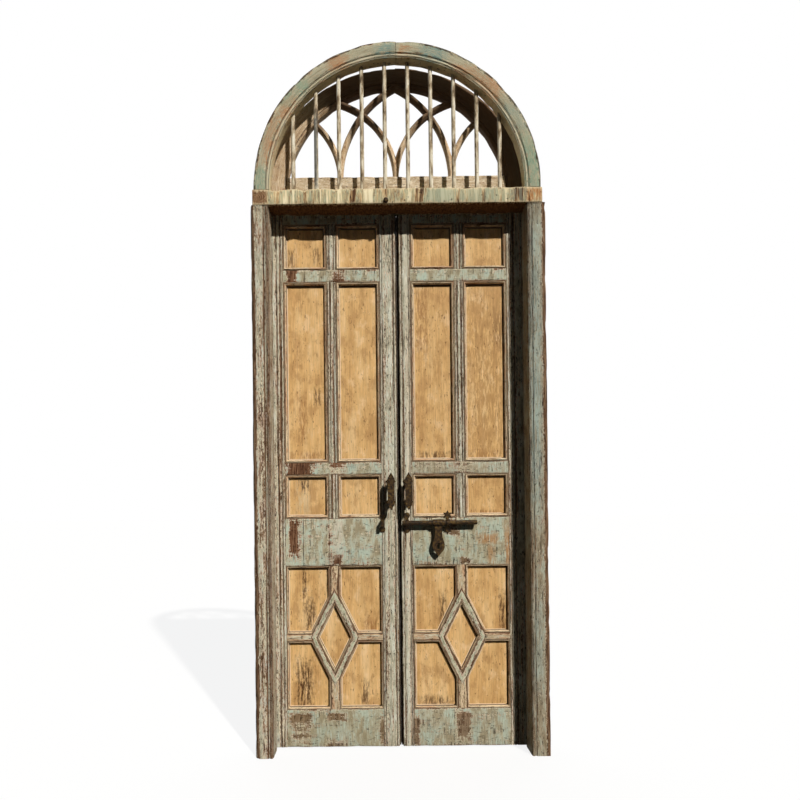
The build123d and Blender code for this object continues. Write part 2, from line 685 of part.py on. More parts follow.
def pull_handle(side):
    """Flat bar with a point at each end, held off the meeting stile by two arms on square roses."""
    x = side * PULL_CENTRE
    z0 = PULL_Z
    z1 = z0 + PULL_LENGTH
    half = PULL_WIDTH / 2
    bar = outline_of([(x, z0), (x + half, z0 + PULL_POINT), (x + half, z1 - PULL_POINT),
                      (x, z1), (x - half, z1 - PULL_POINT), (x - half, z0 + PULL_POINT)])
    front = LEAF_PLACE - PULL_STAND_OFF
    arm = PULL_ARM / 2
    handle = slab(bar, front, front + PULL_THICK)
    for z in (z0 + PULL_ARM_INSET, z1 - PULL_ARM_INSET):
        handle += block(x - arm, x + arm, front, LEAF_PLACE, z - arm, z + arm)
        rose = Pos(x, z) * Rot(0, 0, 45) * Rectangle(PULL_ROSE, PULL_ROSE)
        handle += slab(rose, LEAF_PLACE - PULL_ROSE_THICK, LEAF_PLACE)
    return handle


def star(radius):
    """Pointed rosette as seen from the front."""
    points = []
    for number in range(2 * STAR_POINTS):
        reach = radius if number % 2 == 0 else radius * STAR_WAIST_SHARE
        angle = math.radians(90 + number * 180 / STAR_POINTS)
        points.append((reach * math.cos(angle), reach * math.sin(angle)))
    return outline_of(points)


def bracket(x, pad):
    """Rounded strap that guides the bolt, on a back plate with a pad above and below."""
    outer = BOLT_RADIUS + BRACKET_WALL
    x0 = x - BRACKET_WIDTH / 2
    x1 = x + BRACKET_WIDTH / 2
    body = level(x0, x1, BOLT_DEPTH, BOLT_Z, outer)
    body += block(x0, x1, BOLT_DEPTH, LEAF_PLACE, BOLT_Z - outer, BOLT_Z + outer)
    body += block(x0, x1, PLATE_FACE, LEAF_PLACE, BOLT_Z - BRACKET_REACH, BOLT_Z + BRACKET_REACH)
    for sign in (1, -1):
        shape = Pos(x, BOLT_Z + sign * BRACKET_REACH) * pad
        body += slab(shape, PLATE_FACE, LEAF_PLACE)
    return body - level(x0 - OVERRUN, x1 + OVERRUN, BOLT_DEPTH, BOLT_Z, BOLT_RADIUS + BOLT_FIT)


def keeper(x):
    """Square staple on the other leaf that the thrown bolt slides into, with a round foot each way."""
    x0 = x - BRACKET_WIDTH / 2
    x1 = x + BRACKET_WIDTH / 2
    hole = BOLT_RADIUS + KEEPER_CLEARANCE
    outer = hole + BRACKET_WALL
    staple = block(x0, x1, BOLT_DEPTH - outer, LEAF_PLACE, BOLT_Z - outer, BOLT_Z + outer)
    for sign in (1, -1):
        foot = BOLT_Z + sign * outer
        pad = Pos(x, foot + sign * PAD_RADIUS) * Circle(PAD_RADIUS)
        staple += slab(pad, PLATE_FACE, LEAF_PLACE)
        staple += block(x0, x1, PLATE_FACE, LEAF_PLACE, foot, foot + sign * PAD_RADIUS)
    return staple - block(x0 - OVERRUN, x1 + OVERRUN, BOLT_DEPTH - hole, LEAF_PLACE + OVERRUN,
                          BOLT_Z - hole, BOLT_Z + hole)


def bolt_rod():
    """Round bolt, drawn back clear of the other leaf, with a collar on each side of the hasp."""
    rod = level(BOLT_END, BOLT_END + BOLT_LENGTH, BOLT_DEPTH, BOLT_Z, BOLT_RADIUS)
    rod = chamfer(rod.edges().filter_by(GeomType.CIRCLE), BOLT_CHAMFER)
    reach = HASP_HEAD_WIDTH / 2 + HASP_END_GAP
    for sign in (1, -1):
        inner = HASP_PLACE + sign * reach
        x0, x1 = sorted((inner, inner + sign * COLLAR_WIDTH))
        rod += level(x0, x1, BOLT_DEPTH, BOLT_Z, BOLT_RADIUS + COLLAR_RISE)
    return rod


def hasp_side(sign):
    """One side of the hasp's outline: in to the waist, out round the belly, then to the tip."""
    levels = {name: -share * HASP_LENGTH for name, share in HASP_LEVEL_SHARES.items()}
    head = (sign * HASP_HEAD_WIDTH / 2, 0)
    waist = (sign * HASP_WAIST_WIDTH / 2, levels["waist"])
    shoulder = (sign * HASP_SHOULDER_SHARE * HASP_BELLY_WIDTH / 2, levels["shoulder"])
    belly = (sign * HASP_BELLY_WIDTH / 2, levels["belly"])
    cheek = (sign * HASP_CHEEK_SHARE * HASP_BELLY_WIDTH / 2, levels["cheek"])
    tip = (0, -HASP_LENGTH)
    upper = ThreePointArc(head, waist, shoulder)
    lower = ThreePointArc(shoulder, belly, cheek)
    return [upper, lower, Line(cheek, tip)]


def hasp():
    """Waisted plate with a padlock slot, hung from the bolt by a rolled eye."""
    top = Line((-HASP_HEAD_WIDTH / 2, 0), (HASP_HEAD_WIDTH / 2, 0))
    plate = make_face([top, *hasp_side(1), *hasp_side(-1)])
    slot_z = -HASP_LEVEL_SHARES["belly"] * HASP_LENGTH
    plate -= Pos(0, slot_z) * Rot(0, 0, 90) * SlotOverall(HASP_SLOT_LENGTH, HASP_SLOT_WIDTH)
    front = BOLT_DEPTH - HASP_THICK / 2
    body = slab(Pos(HASP_PLACE, BOLT_Z) * plate, front, front + HASP_THICK)
    x0 = HASP_PLACE - HASP_HEAD_WIDTH / 2
    x1 = HASP_PLACE + HASP_HEAD_WIDTH / 2
    body += level(x0, x1, BOLT_DEPTH, BOLT_Z, BOLT_RADIUS + HASP_EYE_WALL)
    return body - level(x0 - OVERRUN, x1 + OVERRUN, BOLT_DEPTH, BOLT_Z, BOLT_RADIUS + BOLT_FIT)


# Build and write every node

def write_frame():
    """Posts, bar, arch, rods, sash, stud and the hinge pieces fixed to the posts."""
    save("left_post", post(LEFT))
    save("right_post", post(RIGHT))
    save("transom_bar", transom_bar())
    save("bar_stud", bar_stud())
    for number, segment in enumerate(arch_segments(), start=1):
        save(f"arch_segment_{number}", segment)
    save("guard_rods", guard_rods())
    save("sash_arch_left", sash_half(LEFT))
    save("sash_arch_right", sash_half(RIGHT))
    save("sash_rail", sash_rail())
    left_ribs, right_ribs = tracery()
    save("tracery_left_ribs", left_ribs)
    save("tracery_right_ribs", right_ribs)
    save("frame_hinge_plates", [
        hinge_plate(side, z, (0, 2), True) for side in (LEFT, RIGHT) for z in hinge_places()])


def write_leaf(name, side):
    """Joinery, panels, mouldings, hinges and handle of one leaf."""
    hinge_stile, meeting_stile = stiles(side)
    save(f"{name}_hinge_stile", hinge_stile)
    save(f"{name}_meeting_stile", meeting_stile)
    for rail_name, (z0, z1) in RAIL_HEIGHTS.items():
        save(f"{name}_{rail_name}", rail(side, z0, z1))
    save(f"{name}_muntins", muntins(side))
    save(f"{name}_diamond_boards", diamond_boards(side))
    save(f"{name}_diamond_spokes", spokes(side))
    coarse = []
    for row, (z0, z1) in PANEL_ROWS.items():
        outlines = row_outlines(side, z0, z1)
        save(f"{name}_{row}", [panel(points) for points in outlines])
        coarse += outlines
    fine = corner_outlines(side)
    save(f"{name}_corner_panels", [panel(points) for points in fine])
    fine.append(inset(diamond_outline(side), DIAMOND_BOARD))
    save(f"{name}_diamond_panel", panel(fine[-1]))
    mouldings = [moulding(points, MOULDING_WIDTH) for points in coarse]
    mouldings += [moulding(points, FINE_MOULDING_WIDTH) for points in fine]
    save(f"{name}_mouldings", mouldings)
    save(f"{name}_back_beads", [back_bead(points) for points in coarse + fine])
    save(f"{name}_hinge_plates", [hinge_plate(side, z, (1,), False) for z in hinge_places()])
    save(f"{name}_hinge_pins", [hinge_pin(side, z) for z in hinge_places()])
    save(f"{name}_pull_handle", pull_handle(side))


def write_lock():
    """Bolt, hasp, the brackets on the right leaf and the keeper on the left leaf."""
    near = bracket(NEAR_BRACKET, Circle(PAD_RADIUS))
    far = bracket(FAR_BRACKET, star(STAR_RADIUS))
    save("right_bolt_brackets", [near, far])
    save("left_bolt_keeper", keeper(KEEPER_PLACE))
    save("bolt_rod", bolt_rod())
    save("hasp", hasp())


os.makedirs("parts", exist_ok=True)
write_frame()
write_leaf("left", LEFT)
write_leaf("right", RIGHT)
write_lock()
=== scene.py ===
# %% [markdown]
# # A salvaged arched double door
# The door stands in its own frame: two panelled leaves, a transom bar, and a round-headed fanlight
# with guard rods in front of a traceried sash. The solids come from the CAD frame and never move.
# This lesson gives them their worn timber, old paint and forged iron.

# %% Load the frame
import math
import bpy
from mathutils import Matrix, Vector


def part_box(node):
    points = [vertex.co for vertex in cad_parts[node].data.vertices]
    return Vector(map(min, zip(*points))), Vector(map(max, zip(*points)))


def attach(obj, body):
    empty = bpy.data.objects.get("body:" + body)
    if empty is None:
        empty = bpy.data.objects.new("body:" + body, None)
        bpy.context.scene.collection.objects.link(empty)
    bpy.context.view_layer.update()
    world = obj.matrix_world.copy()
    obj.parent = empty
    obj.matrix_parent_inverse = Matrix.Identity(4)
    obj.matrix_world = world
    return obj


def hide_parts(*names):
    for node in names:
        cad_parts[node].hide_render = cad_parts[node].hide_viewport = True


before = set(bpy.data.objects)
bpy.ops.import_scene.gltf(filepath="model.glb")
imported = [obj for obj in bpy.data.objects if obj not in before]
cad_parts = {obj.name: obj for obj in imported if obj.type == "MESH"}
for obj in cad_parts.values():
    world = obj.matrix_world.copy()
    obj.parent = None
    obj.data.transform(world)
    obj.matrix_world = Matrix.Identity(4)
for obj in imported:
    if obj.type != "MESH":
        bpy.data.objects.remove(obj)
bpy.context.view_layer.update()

import zlib

import bmesh
import bpy
import numpy as np

# %% [markdown]
# ## The viewpoint
# The photograph's uprights stay parallel, so it was taken with a level lens and a shifted frame.
# A Blender camera does the same with its shift values, and a slight roll tips the picture as the
# photograph is tipped.

# %% Camera
PICTURE = 800
FOCAL_PIXELS = 551.7
AXIS_PIXEL = (374.0, 503.0)
ROLL = math.radians(0.6)

camera_data = bpy.data.cameras.new("camera")
camera_data.sensor_width = 36.0
camera_data.lens = FOCAL_PIXELS / PICTURE * camera_data.sensor_width
camera_data.shift_x = 0.5 - AXIS_PIXEL[0] / PICTURE
camera_data.shift_y = AXIS_PIXEL[1] / PICTURE - 0.5
camera = bpy.data.objects.new("camera", camera_data)
camera.location = (-0.115, -2.473, 1.109)
camera.rotation_euler = (math.radians(90), ROLL, 0)
bpy.context.scene.collection.objects.link(camera)
bpy.context.scene.camera = camera
print("lens", round(camera_data.lens, 2), "shift", camera_data.shift_x, camera_data.shift_y)

# %% [markdown]
# ## The sun
# The photograph has one low sun in front and to the right, which throws the bar's shadow over the
# heads of the leaves and fine shadows beside the pulls. A large soft lamp would blur those, so a
# single sun lamp with a small angle gives them.

# %% Sun
SUN_FROM = np.array([0.57, -1.0, 0.91])

sun_data = bpy.data.lights.new("sun", "SUN")
sun_data.energy = 4.3
sun_data.angle = math.radians(1.6)
sun_data.color = (1.0, 0.965, 0.9)
sun = bpy.data.objects.new("sun", sun_data)
aim = SUN_FROM / np.linalg.norm(SUN_FROM)
sun.rotation_euler = (math.acos(aim[2]), 0, math.atan2(aim[1], aim[0]) + math.pi / 2)
bpy.context.scene.collection.objects.link(sun)
print("sun towards", aim.round(3))

# %% [markdown]
# ## The world and the backdrop
# The world is dim in front, so the shadows stay deep, and bright behind, so the back of the door is
# lit as well. The backdrop is white only for rays from the camera or a mirror-like surface, because
# a world that is white for every ray would fill the shadows.


# %% World
def add_node(tree, kind, inputs=None, **settings):
    """Add a node, set its options, and link or fill its input sockets."""
    made = tree.nodes.new(kind)
    for key, value in settings.items():
        setattr(made, key, value)
    for key, value in (inputs or {}).items():
        if isinstance(value, bpy.types.NodeSocket):
            tree.links.new(value, made.inputs[key])
        else:
            made.inputs[key].default_value = value
    return made


def backdrop_share(tree):
    """1 for rays from the camera, a glossy surface or a transmission, and 0 for plain light."""
    rays = add_node(tree, "ShaderNodeLightPath").outputs
    share = rays["Is Camera Ray"]
    for ray in ("Is Glossy Ray", "Is Transmission Ray"):
        share = add_node(tree, "ShaderNodeMath", {0: share, 1: rays[ray]}, operation="MAXIMUM").outputs[0]
    return share


FRONT_LIGHT, BACK_LIGHT = 0.03, 1.35
world = bpy.data.worlds.new("studio")
world.use_nodes = True
bpy.context.scene.world = world
tree = world.node_tree
tree.nodes.clear()
direction = add_node(tree, "ShaderNodeTexCoord").outputs["Generated"]
behind = add_node(tree, "ShaderNodeSeparateXYZ", {0: direction}).outputs["Y"]
strength = add_node(tree, "ShaderNodeMapRange", {"Value": behind, "From Min": 0.1, "From Max": 0.7,
                                                 "To Min": FRONT_LIGHT, "To Max": BACK_LIGHT},
                    interpolation_type="SMOOTHSTEP").outputs["Result"]
fill = add_node(tree, "ShaderNodeBackground", {"Color": (0.9, 0.95, 1.0, 1), "Strength": strength})
white = add_node(tree, "ShaderNodeBackground", {"Color": (1, 1, 1, 1), "Strength": 1.0})
sky = add_node(tree, "ShaderNodeMixShader", {0: backdrop_share(tree), 1: fill.outputs[0], 2: white.outputs[0]})
add_node(tree, "ShaderNodeOutputWorld", {0: sky.outputs[0]})
print("world light", FRONT_LIGHT, "in front and", BACK_LIGHT, "behind")

# %% [markdown]
# ## The floor
# The floor looks as white as the backdrop and still takes the door's shadow. A plain white floor would
# throw light up at the door, so this one is dark to the light, pale to the camera, and mostly glow.

# %% Floor
FLOOR_HALF, FLOOR_LIFT = 40.0, 0.86
FLOOR_DARK, FLOOR_PALE = (0.035, 0.033, 0.03, 1), (0.85, 0.85, 0.85, 1)
floor_mesh = bpy.data.meshes.new("floor")
floor_mesh.from_pydata([(FLOOR_HALF * x, FLOOR_HALF * y, 0) for x, y in ((-1, -1), (1, -1), (1, 1), (-1, 1))],
                       [], [(0, 1, 2, 3)])
floor = bpy.data.objects.new("floor", floor_mesh)
bpy.context.scene.collection.objects.link(floor)
floor_finish = bpy.data.materials.new("pale_floor")
floor_finish.use_nodes = True
tree = floor_finish.node_tree
tree.nodes.clear()
seen = backdrop_share(tree)
tone = add_node(tree, "ShaderNodeMix", {0: seen, 6: FLOOR_DARK, 7: FLOOR_PALE}, data_type="RGBA")
matte = add_node(tree, "ShaderNodeBsdfDiffuse", {"Color": tone.outputs[2]})
glow = add_node(tree, "ShaderNodeEmission", {"Strength": 1.0})
lift = add_node(tree, "ShaderNodeMath", {0: seen, 1: FLOOR_LIFT}, operation="MULTIPLY")
blend = add_node(tree, "ShaderNodeMixShader", {0: lift.outputs[0], 1: matte.outputs[0], 2: glow.outputs[0]})
add_node(tree, "ShaderNodeOutputMaterial", {0: blend.outputs[0]})
floor_mesh.materials.append(floor_finish)

view = bpy.context.scene.view_settings
view.view_transform = "Standard"
print("floor", 2 * FLOOR_HALF, "m wide; view", view.view_transform)

# %% [markdown]
# ## A kit for finishes
# Every finish below is a tree of nodes. Building trees by hand is long, so this small class adds one
# node per call and hands back the socket to wire on. Colours are written as they look on a screen,
# from 0 to 255, and turned into the linear values that a shader wants.


# %% Finish kit
def shade(colour):
    """Screen colour 0..255 to linear: ((c + 0.055) / 1.055) ** 2.4 above the toe, c / 12.92 below.

    A socket or a linear colour with its alpha passes unchanged.
    """
    if not isinstance(colour, tuple) or len(colour) != 3:
        return colour
    c = np.array(colour, float) / 255
    linear = np.where(c > 0.04045, ((c + 0.055) / 1.055) ** 2.4, c / 12.92)
    return (*map(float, linear), 1.0)


class Finish:
    """A material under construction: each method adds a node and returns an output socket."""

    def __init__(self, name):
        self.material = bpy.data.materials.new(name)
        self.material.use_nodes = True
        self.tree = self.material.node_tree
        self.tree.nodes.clear()
        self.place = self.node("ShaderNodeTexCoord").outputs["Object"]
        self.grain = self.node("ShaderNodeAttribute", attribute_name="grain").outputs["Vector"]

    def node(self, kind, inputs=None, **settings):
        return add_node(self.tree, kind, inputs, **settings)

    def value(self, name):
        """A number that the piece carries on its points."""
        return self.node("ShaderNodeAttribute", attribute_name=name).outputs["Fac"]

    def stretch(self, vector, scale, shift=(0, 0, 0)):
        return self.node("ShaderNodeMapping", {"Vector": vector, "Scale": scale, "Location": shift}).outputs[0]

    def noise(self, vector, scale, detail=6.0, rough=0.6, shift=(0, 0, 0)):
        """Noise at one scale, or at one scale for each axis after a shift."""
        if isinstance(scale, tuple):
            vector, scale = self.stretch(vector, scale, shift), 1.0
        sockets = {"Vector": vector, "Scale": scale, "Detail": detail, "Roughness": rough}
        return self.node("ShaderNodeTexNoise", sockets).outputs["Fac"]

    def step(self, value, low, high, start=0.0, end=1.0):
        """Smooth step from start at low to end at high."""
        sockets = {"Value": value, "From Min": low, "From Max": high, "To Min": start, "To Max": end}
        made = self.node("ShaderNodeMapRange", sockets, interpolation_type="SMOOTHSTEP")
        return made.outputs["Result"]

    def math(self, operation, first, second=0.0, third=0.0):
        return self.node("ShaderNodeMath", {0: first, 1: second, 2: third}, operation=operation).outputs[0]

    def add(self, *values):
        total = values[0]
        for value in values[1:]:
            total = self.math("ADD", total, value)
        return total

    def times(self, first, second):
        return self.math("MULTIPLY", first, second)

    def blend(self, *parts):
        """Sum of values, each times its weight."""
        return self.add(*[self.times(value, weight) for value, weight in parts])

    def swing(self, value, amount):
        """A noise about its middle: (value - 0.5) * amount."""
        return self.times(self.math("SUBTRACT", value, 0.5), amount)

    def mix(self, share, first, second, blend="MIX"):
        sockets = {0: share, 6: shade(first), 7: shade(second)}
        return self.node("ShaderNodeMix", sockets, data_type="RGBA", blend_type=blend).outputs[2]

    def ramp(self, value, stops):
        """Colours at places along 0..1."""
        made = self.node("ShaderNodeValToRGB", {0: value})
        elements = made.color_ramp.elements
        while len(elements) < len(stops):
            elements.new(0.5)
        for element, (place, colour) in zip(elements, stops):
            element.position = place
            element.color = shade(colour)
        return made.outputs["Color"]

    def patch(self, place, ragged, soft):
        """1 inside a patch with ragged edges, seen from the front, and 0 outside it."""
        x, z, half_x, half_z = place[:4]
        local = self.stretch(self.place, (1 / half_x, 0, 1 / half_z), (-x / half_x, 0, -z / half_z))
        parts = self.node("ShaderNodeSeparateXYZ", {0: local})
        across = self.math("ABSOLUTE", parts.outputs["X"])
        along = self.math("ABSOLUTE", parts.outputs["Z"])
        reach = self.math("SMOOTH_MAX", across, along, 0.3)
        torn = self.noise(self.place, 70.0, 4.0, 0.7)
        return self.step(self.add(reach, self.swing(torn, ragged * 2)), 1 + soft, 1 - soft)

    def bump(self, height, distance):
        sockets = {"Height": height, "Distance": distance, "Strength": 1.0}
        return self.node("ShaderNodeBump", sockets).outputs["Normal"]

    def surface(self, colour, rough, normal, specular, metallic=0.0):
        sockets = {"Base Color": colour, "Roughness": rough, "Normal": normal, "Metallic": metallic,
                   "Specular IOR Level": specular}
        shader = self.node("ShaderNodeBsdfPrincipled", sockets)
        self.node("ShaderNodeOutputMaterial", {"Surface": shader.outputs[0]})
        return self.material


print("finish kit ready; mid grey", [round(v, 3) for v in shade((128, 128, 128))])

# %% [markdown]
# ## Old paint over timber
# The frames of the leaves carry a sage top coat over a cream undercoat over brown pine. Weather and
# scraping took the coats off in streaks along the grain, and first of all along the arrises. So one
# wear field is the sum of a broad noise, a streak noise along the grain, a flake noise and the
# piece's own closeness to an arris, and each coat ends where that field passes its level.


# %% Worn paint
def tinted(fin, colour, shading):
    """A colour times a grey."""
    grey = fin.node("ShaderNodeCombineXYZ", {0: shading, 1: shading, 2: shading}).outputs[0]
    return fin.mix(1.0, colour, grey, "MULTIPLY")


def worn_paint(name, coats, under, woods, coat_level, under_level, patches=(), stains=(), seed=0.0,
               arris=0.14, streaks=(9.0, 190.0), speckle=0.75, bands=0.0, crosswise=False):
    """Wear field f = blotch + band + streak + flake + arris, weighted; coat where f is under its level."""
    fin = Finish(name)

    def grained(along, around, shift=(0, 0, 0), turned=False):
        scale = (around, along, 1) if turned else (along, around, 1)
        return fin.stretch(fin.grain, scale, shift)

    broad = fin.noise(grained(5.0, 30.0, (seed, 0, seed)), 1.0, 9.0, 0.66)
    streak = fin.noise(grained(*streaks, (0, seed, 0), crosswise), 1.0, 6.0, 0.65)
    flake = fin.noise(grained(60, 150, (seed, 7, 0)), 1.0, 5.0, 0.72)
    field = fin.blend((broad, 0.42 - 0.6 * bands), (streak, 0.3 - 0.4 * bands), (flake, 0.28),
                      (fin.value("arris"), arris))
    if bands:
        band = fin.noise(grained(1.1, 92.0, (seed, 0, 3)), 1.0, 2.0, 0.4)
        field = fin.add(field, fin.times(band, bands))
    for place in patches:
        field = fin.add(field, fin.times(fin.patch(place, 0.7, 0.6), place[4]))
    coat_on = fin.step(field, coat_level + 0.012, coat_level - 0.012)
    under_on = fin.step(field, under_level + 0.014, under_level - 0.014)
    tone = fin.noise(grained(9.0, 26.0, (seed + 5, 0, 0), crosswise), 1.0, 6.0, 0.65)
    fibre = fin.noise(grained(30.0, 700.0, (0, 0, 0), crosswise), 1.0, 3.0, 0.6)
    coat = fin.ramp(tone, [(0.42, coats[0]), (0.5, coats[1]), (0.58, coats[2])])
    ground = fin.ramp(streak, [(0.36, woods[0]), (0.5, woods[1]), (0.64, woods[2])])
    primer = fin.mix(fin.step(tone, 0.44, 0.56), under[0], under[1])
    colour = fin.mix(under_on, ground, primer)
    colour = fin.mix(coat_on, colour, coat)
    for place, tint in stains:
        mottled = fin.times(fin.patch(place, 0.7, 0.6), fin.step(streak, 0.38, 0.52))
        colour = fin.mix(fin.times(mottled, place[4]), colour, tint)
    colour = tinted(fin, colour, fin.step(fibre, 0.3, 0.7, 0.74, 1.14))
    split = fin.noise(grained(2.2, 60.0, (seed, 3, 0), crosswise), 1.0, 3.0, 0.5)
    crack = fin.step(fin.math("ABSOLUTE", fin.math("SUBTRACT", split, 0.5)), 0.012, 0.003)
    crack = fin.times(crack, fin.step(broad, 0.46, 0.54))
    tick = fin.noise(grained(42, 110, (9, seed, 0)), 1.0, 4.0, 0.68)
    specks = fin.times(fin.step(tick, 0.58, 0.63), speckle)
    # Painted shade: the hollow value darkens quirks, notches and grooves towards (40, 28, 20), beside the real
    # cracks and specks.
    grime_and_shade = fin.times(fin.value("seam"), 0.9)
    dirt_and_shade = fin.math("MAXIMUM", fin.math("MAXIMUM", fin.times(crack, 0.85), specks), grime_and_shade)
    colour = fin.mix(dirt_and_shade, colour, (40, 28, 20))
    height = fin.blend((coat_on, 0.4), (under_on, 0.3), (fibre, 0.3), (dirt_and_shade, -0.8))
    rough = fin.step(coat_on, 0.0, 1.0, 0.82, 0.62)
    return fin.surface(colour, rough, fin.bump(height, 0.0012), specular=0.06)


print("worn paint recipe ready")

# %% [markdown]
# ## Marks by their place
# Scrapes, rust and stains sit where they do on the real door. Each mark is an oblong measured in the
# photograph and carried back along the lens to a plane of the door, so it lands on the right board. A
# picture laid over the model would suit one view only, while these marks are part of the finish.

# %% Places on the door
LEAF_PLANE, ROD_PLANE, FRAME_FACE = 0.027, -0.039, -0.073


def at(px, py, depth):
    """X and Z of a pixel on the plane y = depth: undo the roll, then scale by distance / focal."""
    dx, dy = px - AXIS_PIXEL[0], AXIS_PIXEL[1] - py
    scale = (depth - camera.location.y) / FOCAL_PIXELS
    x = dx * math.cos(ROLL) + dy * math.sin(ROLL)
    z = dy * math.cos(ROLL) - dx * math.sin(ROLL)
    return camera.location.x + x * scale, camera.location.z + z * scale


def spot(x0, y0, x1, y1, amount, depth=LEAF_PLANE):
    """An oblong of the photograph as a patch: middle, half width, half height and amount."""
    (left, top), (right, foot) = at(x0, y0, depth), at(x1, y1, depth)
    return (left + right) / 2, (top + foot) / 2, abs(right - left) / 2, abs(top - foot) / 2, amount


def spots(*rows, depth=LEAF_PLANE):
    """Patches from rows of x0, y0, x1, y1 and amount."""
    return [spot(*row, depth) for row in rows]


def tints(*rows, depth=LEAF_PLANE):
    """Tinted patches from rows of x0, y0, x1, y1, amount and colour."""
    return [(spot(*row[:5], depth), row[5]) for row in rows]


print("the meeting line at mid height is near", np.round(at(400, 500, LEAF_PLANE), 3))

# %% Palettes and marks
SAGE = ((162, 151, 124), (188, 186, 164), (185, 197, 181))
GREY_SAGE = ((166, 160, 140), (194, 191, 170), (212, 212, 196))
STONE = ((138, 124, 101), (163, 152, 129), (173, 173, 155))
PALE_SAGE = ((168, 166, 138), (192, 194, 168), (206, 208, 184))
CREAM = ((228, 217, 190), (204, 180, 158))
TAN = ((158, 134, 105), (190, 172, 142), (208, 200, 176))
WARM_CREAM = ((224, 202, 168), (200, 164, 130))
PINE = ((56, 38, 27), (108, 80, 60), (158, 132, 104))
RED_PINE = ((66, 43, 31), (108, 75, 55), (146, 112, 86))
RUST = (186, 122, 62)

rail_marks = spots(
    (289.5, 519, 297.5, 554, 0.2), (327, 519, 333, 567, 0.07), (334, 556, 341.5, 564, 0.2),
    (288, 462.5, 311, 475.5, 0.18), (330, 461, 345, 477, 0.08), (287, 269.5, 296, 285, 0.2),
    (331, 269, 345, 286, 0.1), (291, 714, 311, 722, 0.17), (290, 723, 312, 746, 0.09),
    (328, 713, 346, 721, 0.15), (329, 740, 346, 748, 0.12), (449, 517, 459, 537, 0.1),
    (460, 557, 471, 563, 0.15), (457, 712, 471, 739, 0.16), (413, 714, 420, 746, 0.15),
    (455, 462, 472, 476, 0.08), (296, 519, 302, 566, 0.055), (380, 715, 386, 746, 0.12),
)
rail_stains = tints(
    (478, 534, 498, 543, 0.75, RUST), (488, 545, 495, 567, 0.6, RUST),
    (505, 527, 512, 567, 0.8, RUST), (335, 728, 350, 746, 0.4, (206, 200, 184)),
    (334, 520, 343, 552, 0.75, (214, 205, 186)), (280, 712, 400, 750, 0.5, (150, 140, 110)),
    (405, 712, 520, 750, 0.45, (152, 141, 116)), (405, 518, 520, 568, 0.3, (140, 136, 108)),
    (405, 461, 520, 477, 0.5, (168, 154, 132)), (302.8, 517, 304.2, 569, 0.9, (52, 36, 26)),
    (303.6, 268, 304.8, 287, 0.85, (60, 44, 32)), (373.8, 268, 375, 287, 0.85, (60, 44, 32)),
    (328.6, 517, 329.8, 569, 0.7, (84, 58, 42)), (358, 519, 359, 567, 0.5, (110, 104, 84)),
)
post_strip = [(0.640, 1.2, 0.012, 1.4, 0.2)]
# Painted shadow: a dark band along the post tops just under the bar, where the bar shades the joint.
GAP_SHADOW = ((0.0, 2.4095, 0.7, 0.0045, 0.95), (30, 21, 15))
BLUE_GREY = (158, 178, 172)
post_tints = [*tints((529, 215, 541, 330, 0.55, BLUE_GREY), (530, 330, 542, 500, 0.7, BLUE_GREY),
                     (533, 600, 544, 690, 0.4, BLUE_GREY), depth=FRAME_FACE), GAP_SHADOW]
stile_marks = spots((276, 240, 284, 480, 0.045), (276, 480, 285, 600, 0.02), (384, 240, 391, 700, 0.02))
stile_tints = tints((404, 240, 413, 700, 0.75, (220, 208, 184)), (379, 330, 386, 700, 0.35, (196, 200, 182)))
print("rail marks", len(rail_marks), "rail stains", len(rail_stains))

# %% Paints
stile_finish = worn_paint("stile_paint", GREY_SAGE, CREAM, PINE, 0.525, 0.56, stile_marks, stile_tints,
                          seed=2.0, bands=0.34, arris=0.08)
rail_finish = worn_paint("rail_paint", SAGE, CREAM, RED_PINE, 0.55, 0.59, rail_marks, rail_stains, seed=11.0,
                         arris=0.07, streaks=(12.0, 150.0), speckle=0.6, crosswise=True)
board_finish = worn_paint("board_paint", PALE_SAGE, CREAM, RED_PINE, 0.53, 0.57, seed=15.0, arris=0.12)
spoke_finish = worn_paint("spoke_paint", TAN, WARM_CREAM, RED_PINE, 0.5, 0.56, seed=18.0, arris=0.12)
moulding_finish = worn_paint("moulding_paint", TAN, WARM_CREAM, RED_PINE, 0.48, 0.58, seed=21.0, arris=0.04)
post_left_finish = worn_paint("left_post_paint", GREY_SAGE, CREAM, PINE, 0.485, 0.52, (), [GAP_SHADOW],
                              seed=31.0, bands=0.22)
post_right_finish = worn_paint("right_post_paint", STONE, CREAM, PINE, 0.54, 0.56, post_strip, post_tints,
                               seed=41.0, arris=0.1)
print("paints", [m.name for m in bpy.data.materials])

# %% [markdown]
# ## Bare panels
# The panels were stripped to honey pine and keep a pale line of old paint at their rims, which the
# piece gives as a number on its points. All the boards stand upright, so noise stretched along Z makes
# their bands and fibre, and dark stains lie where the photograph has them.


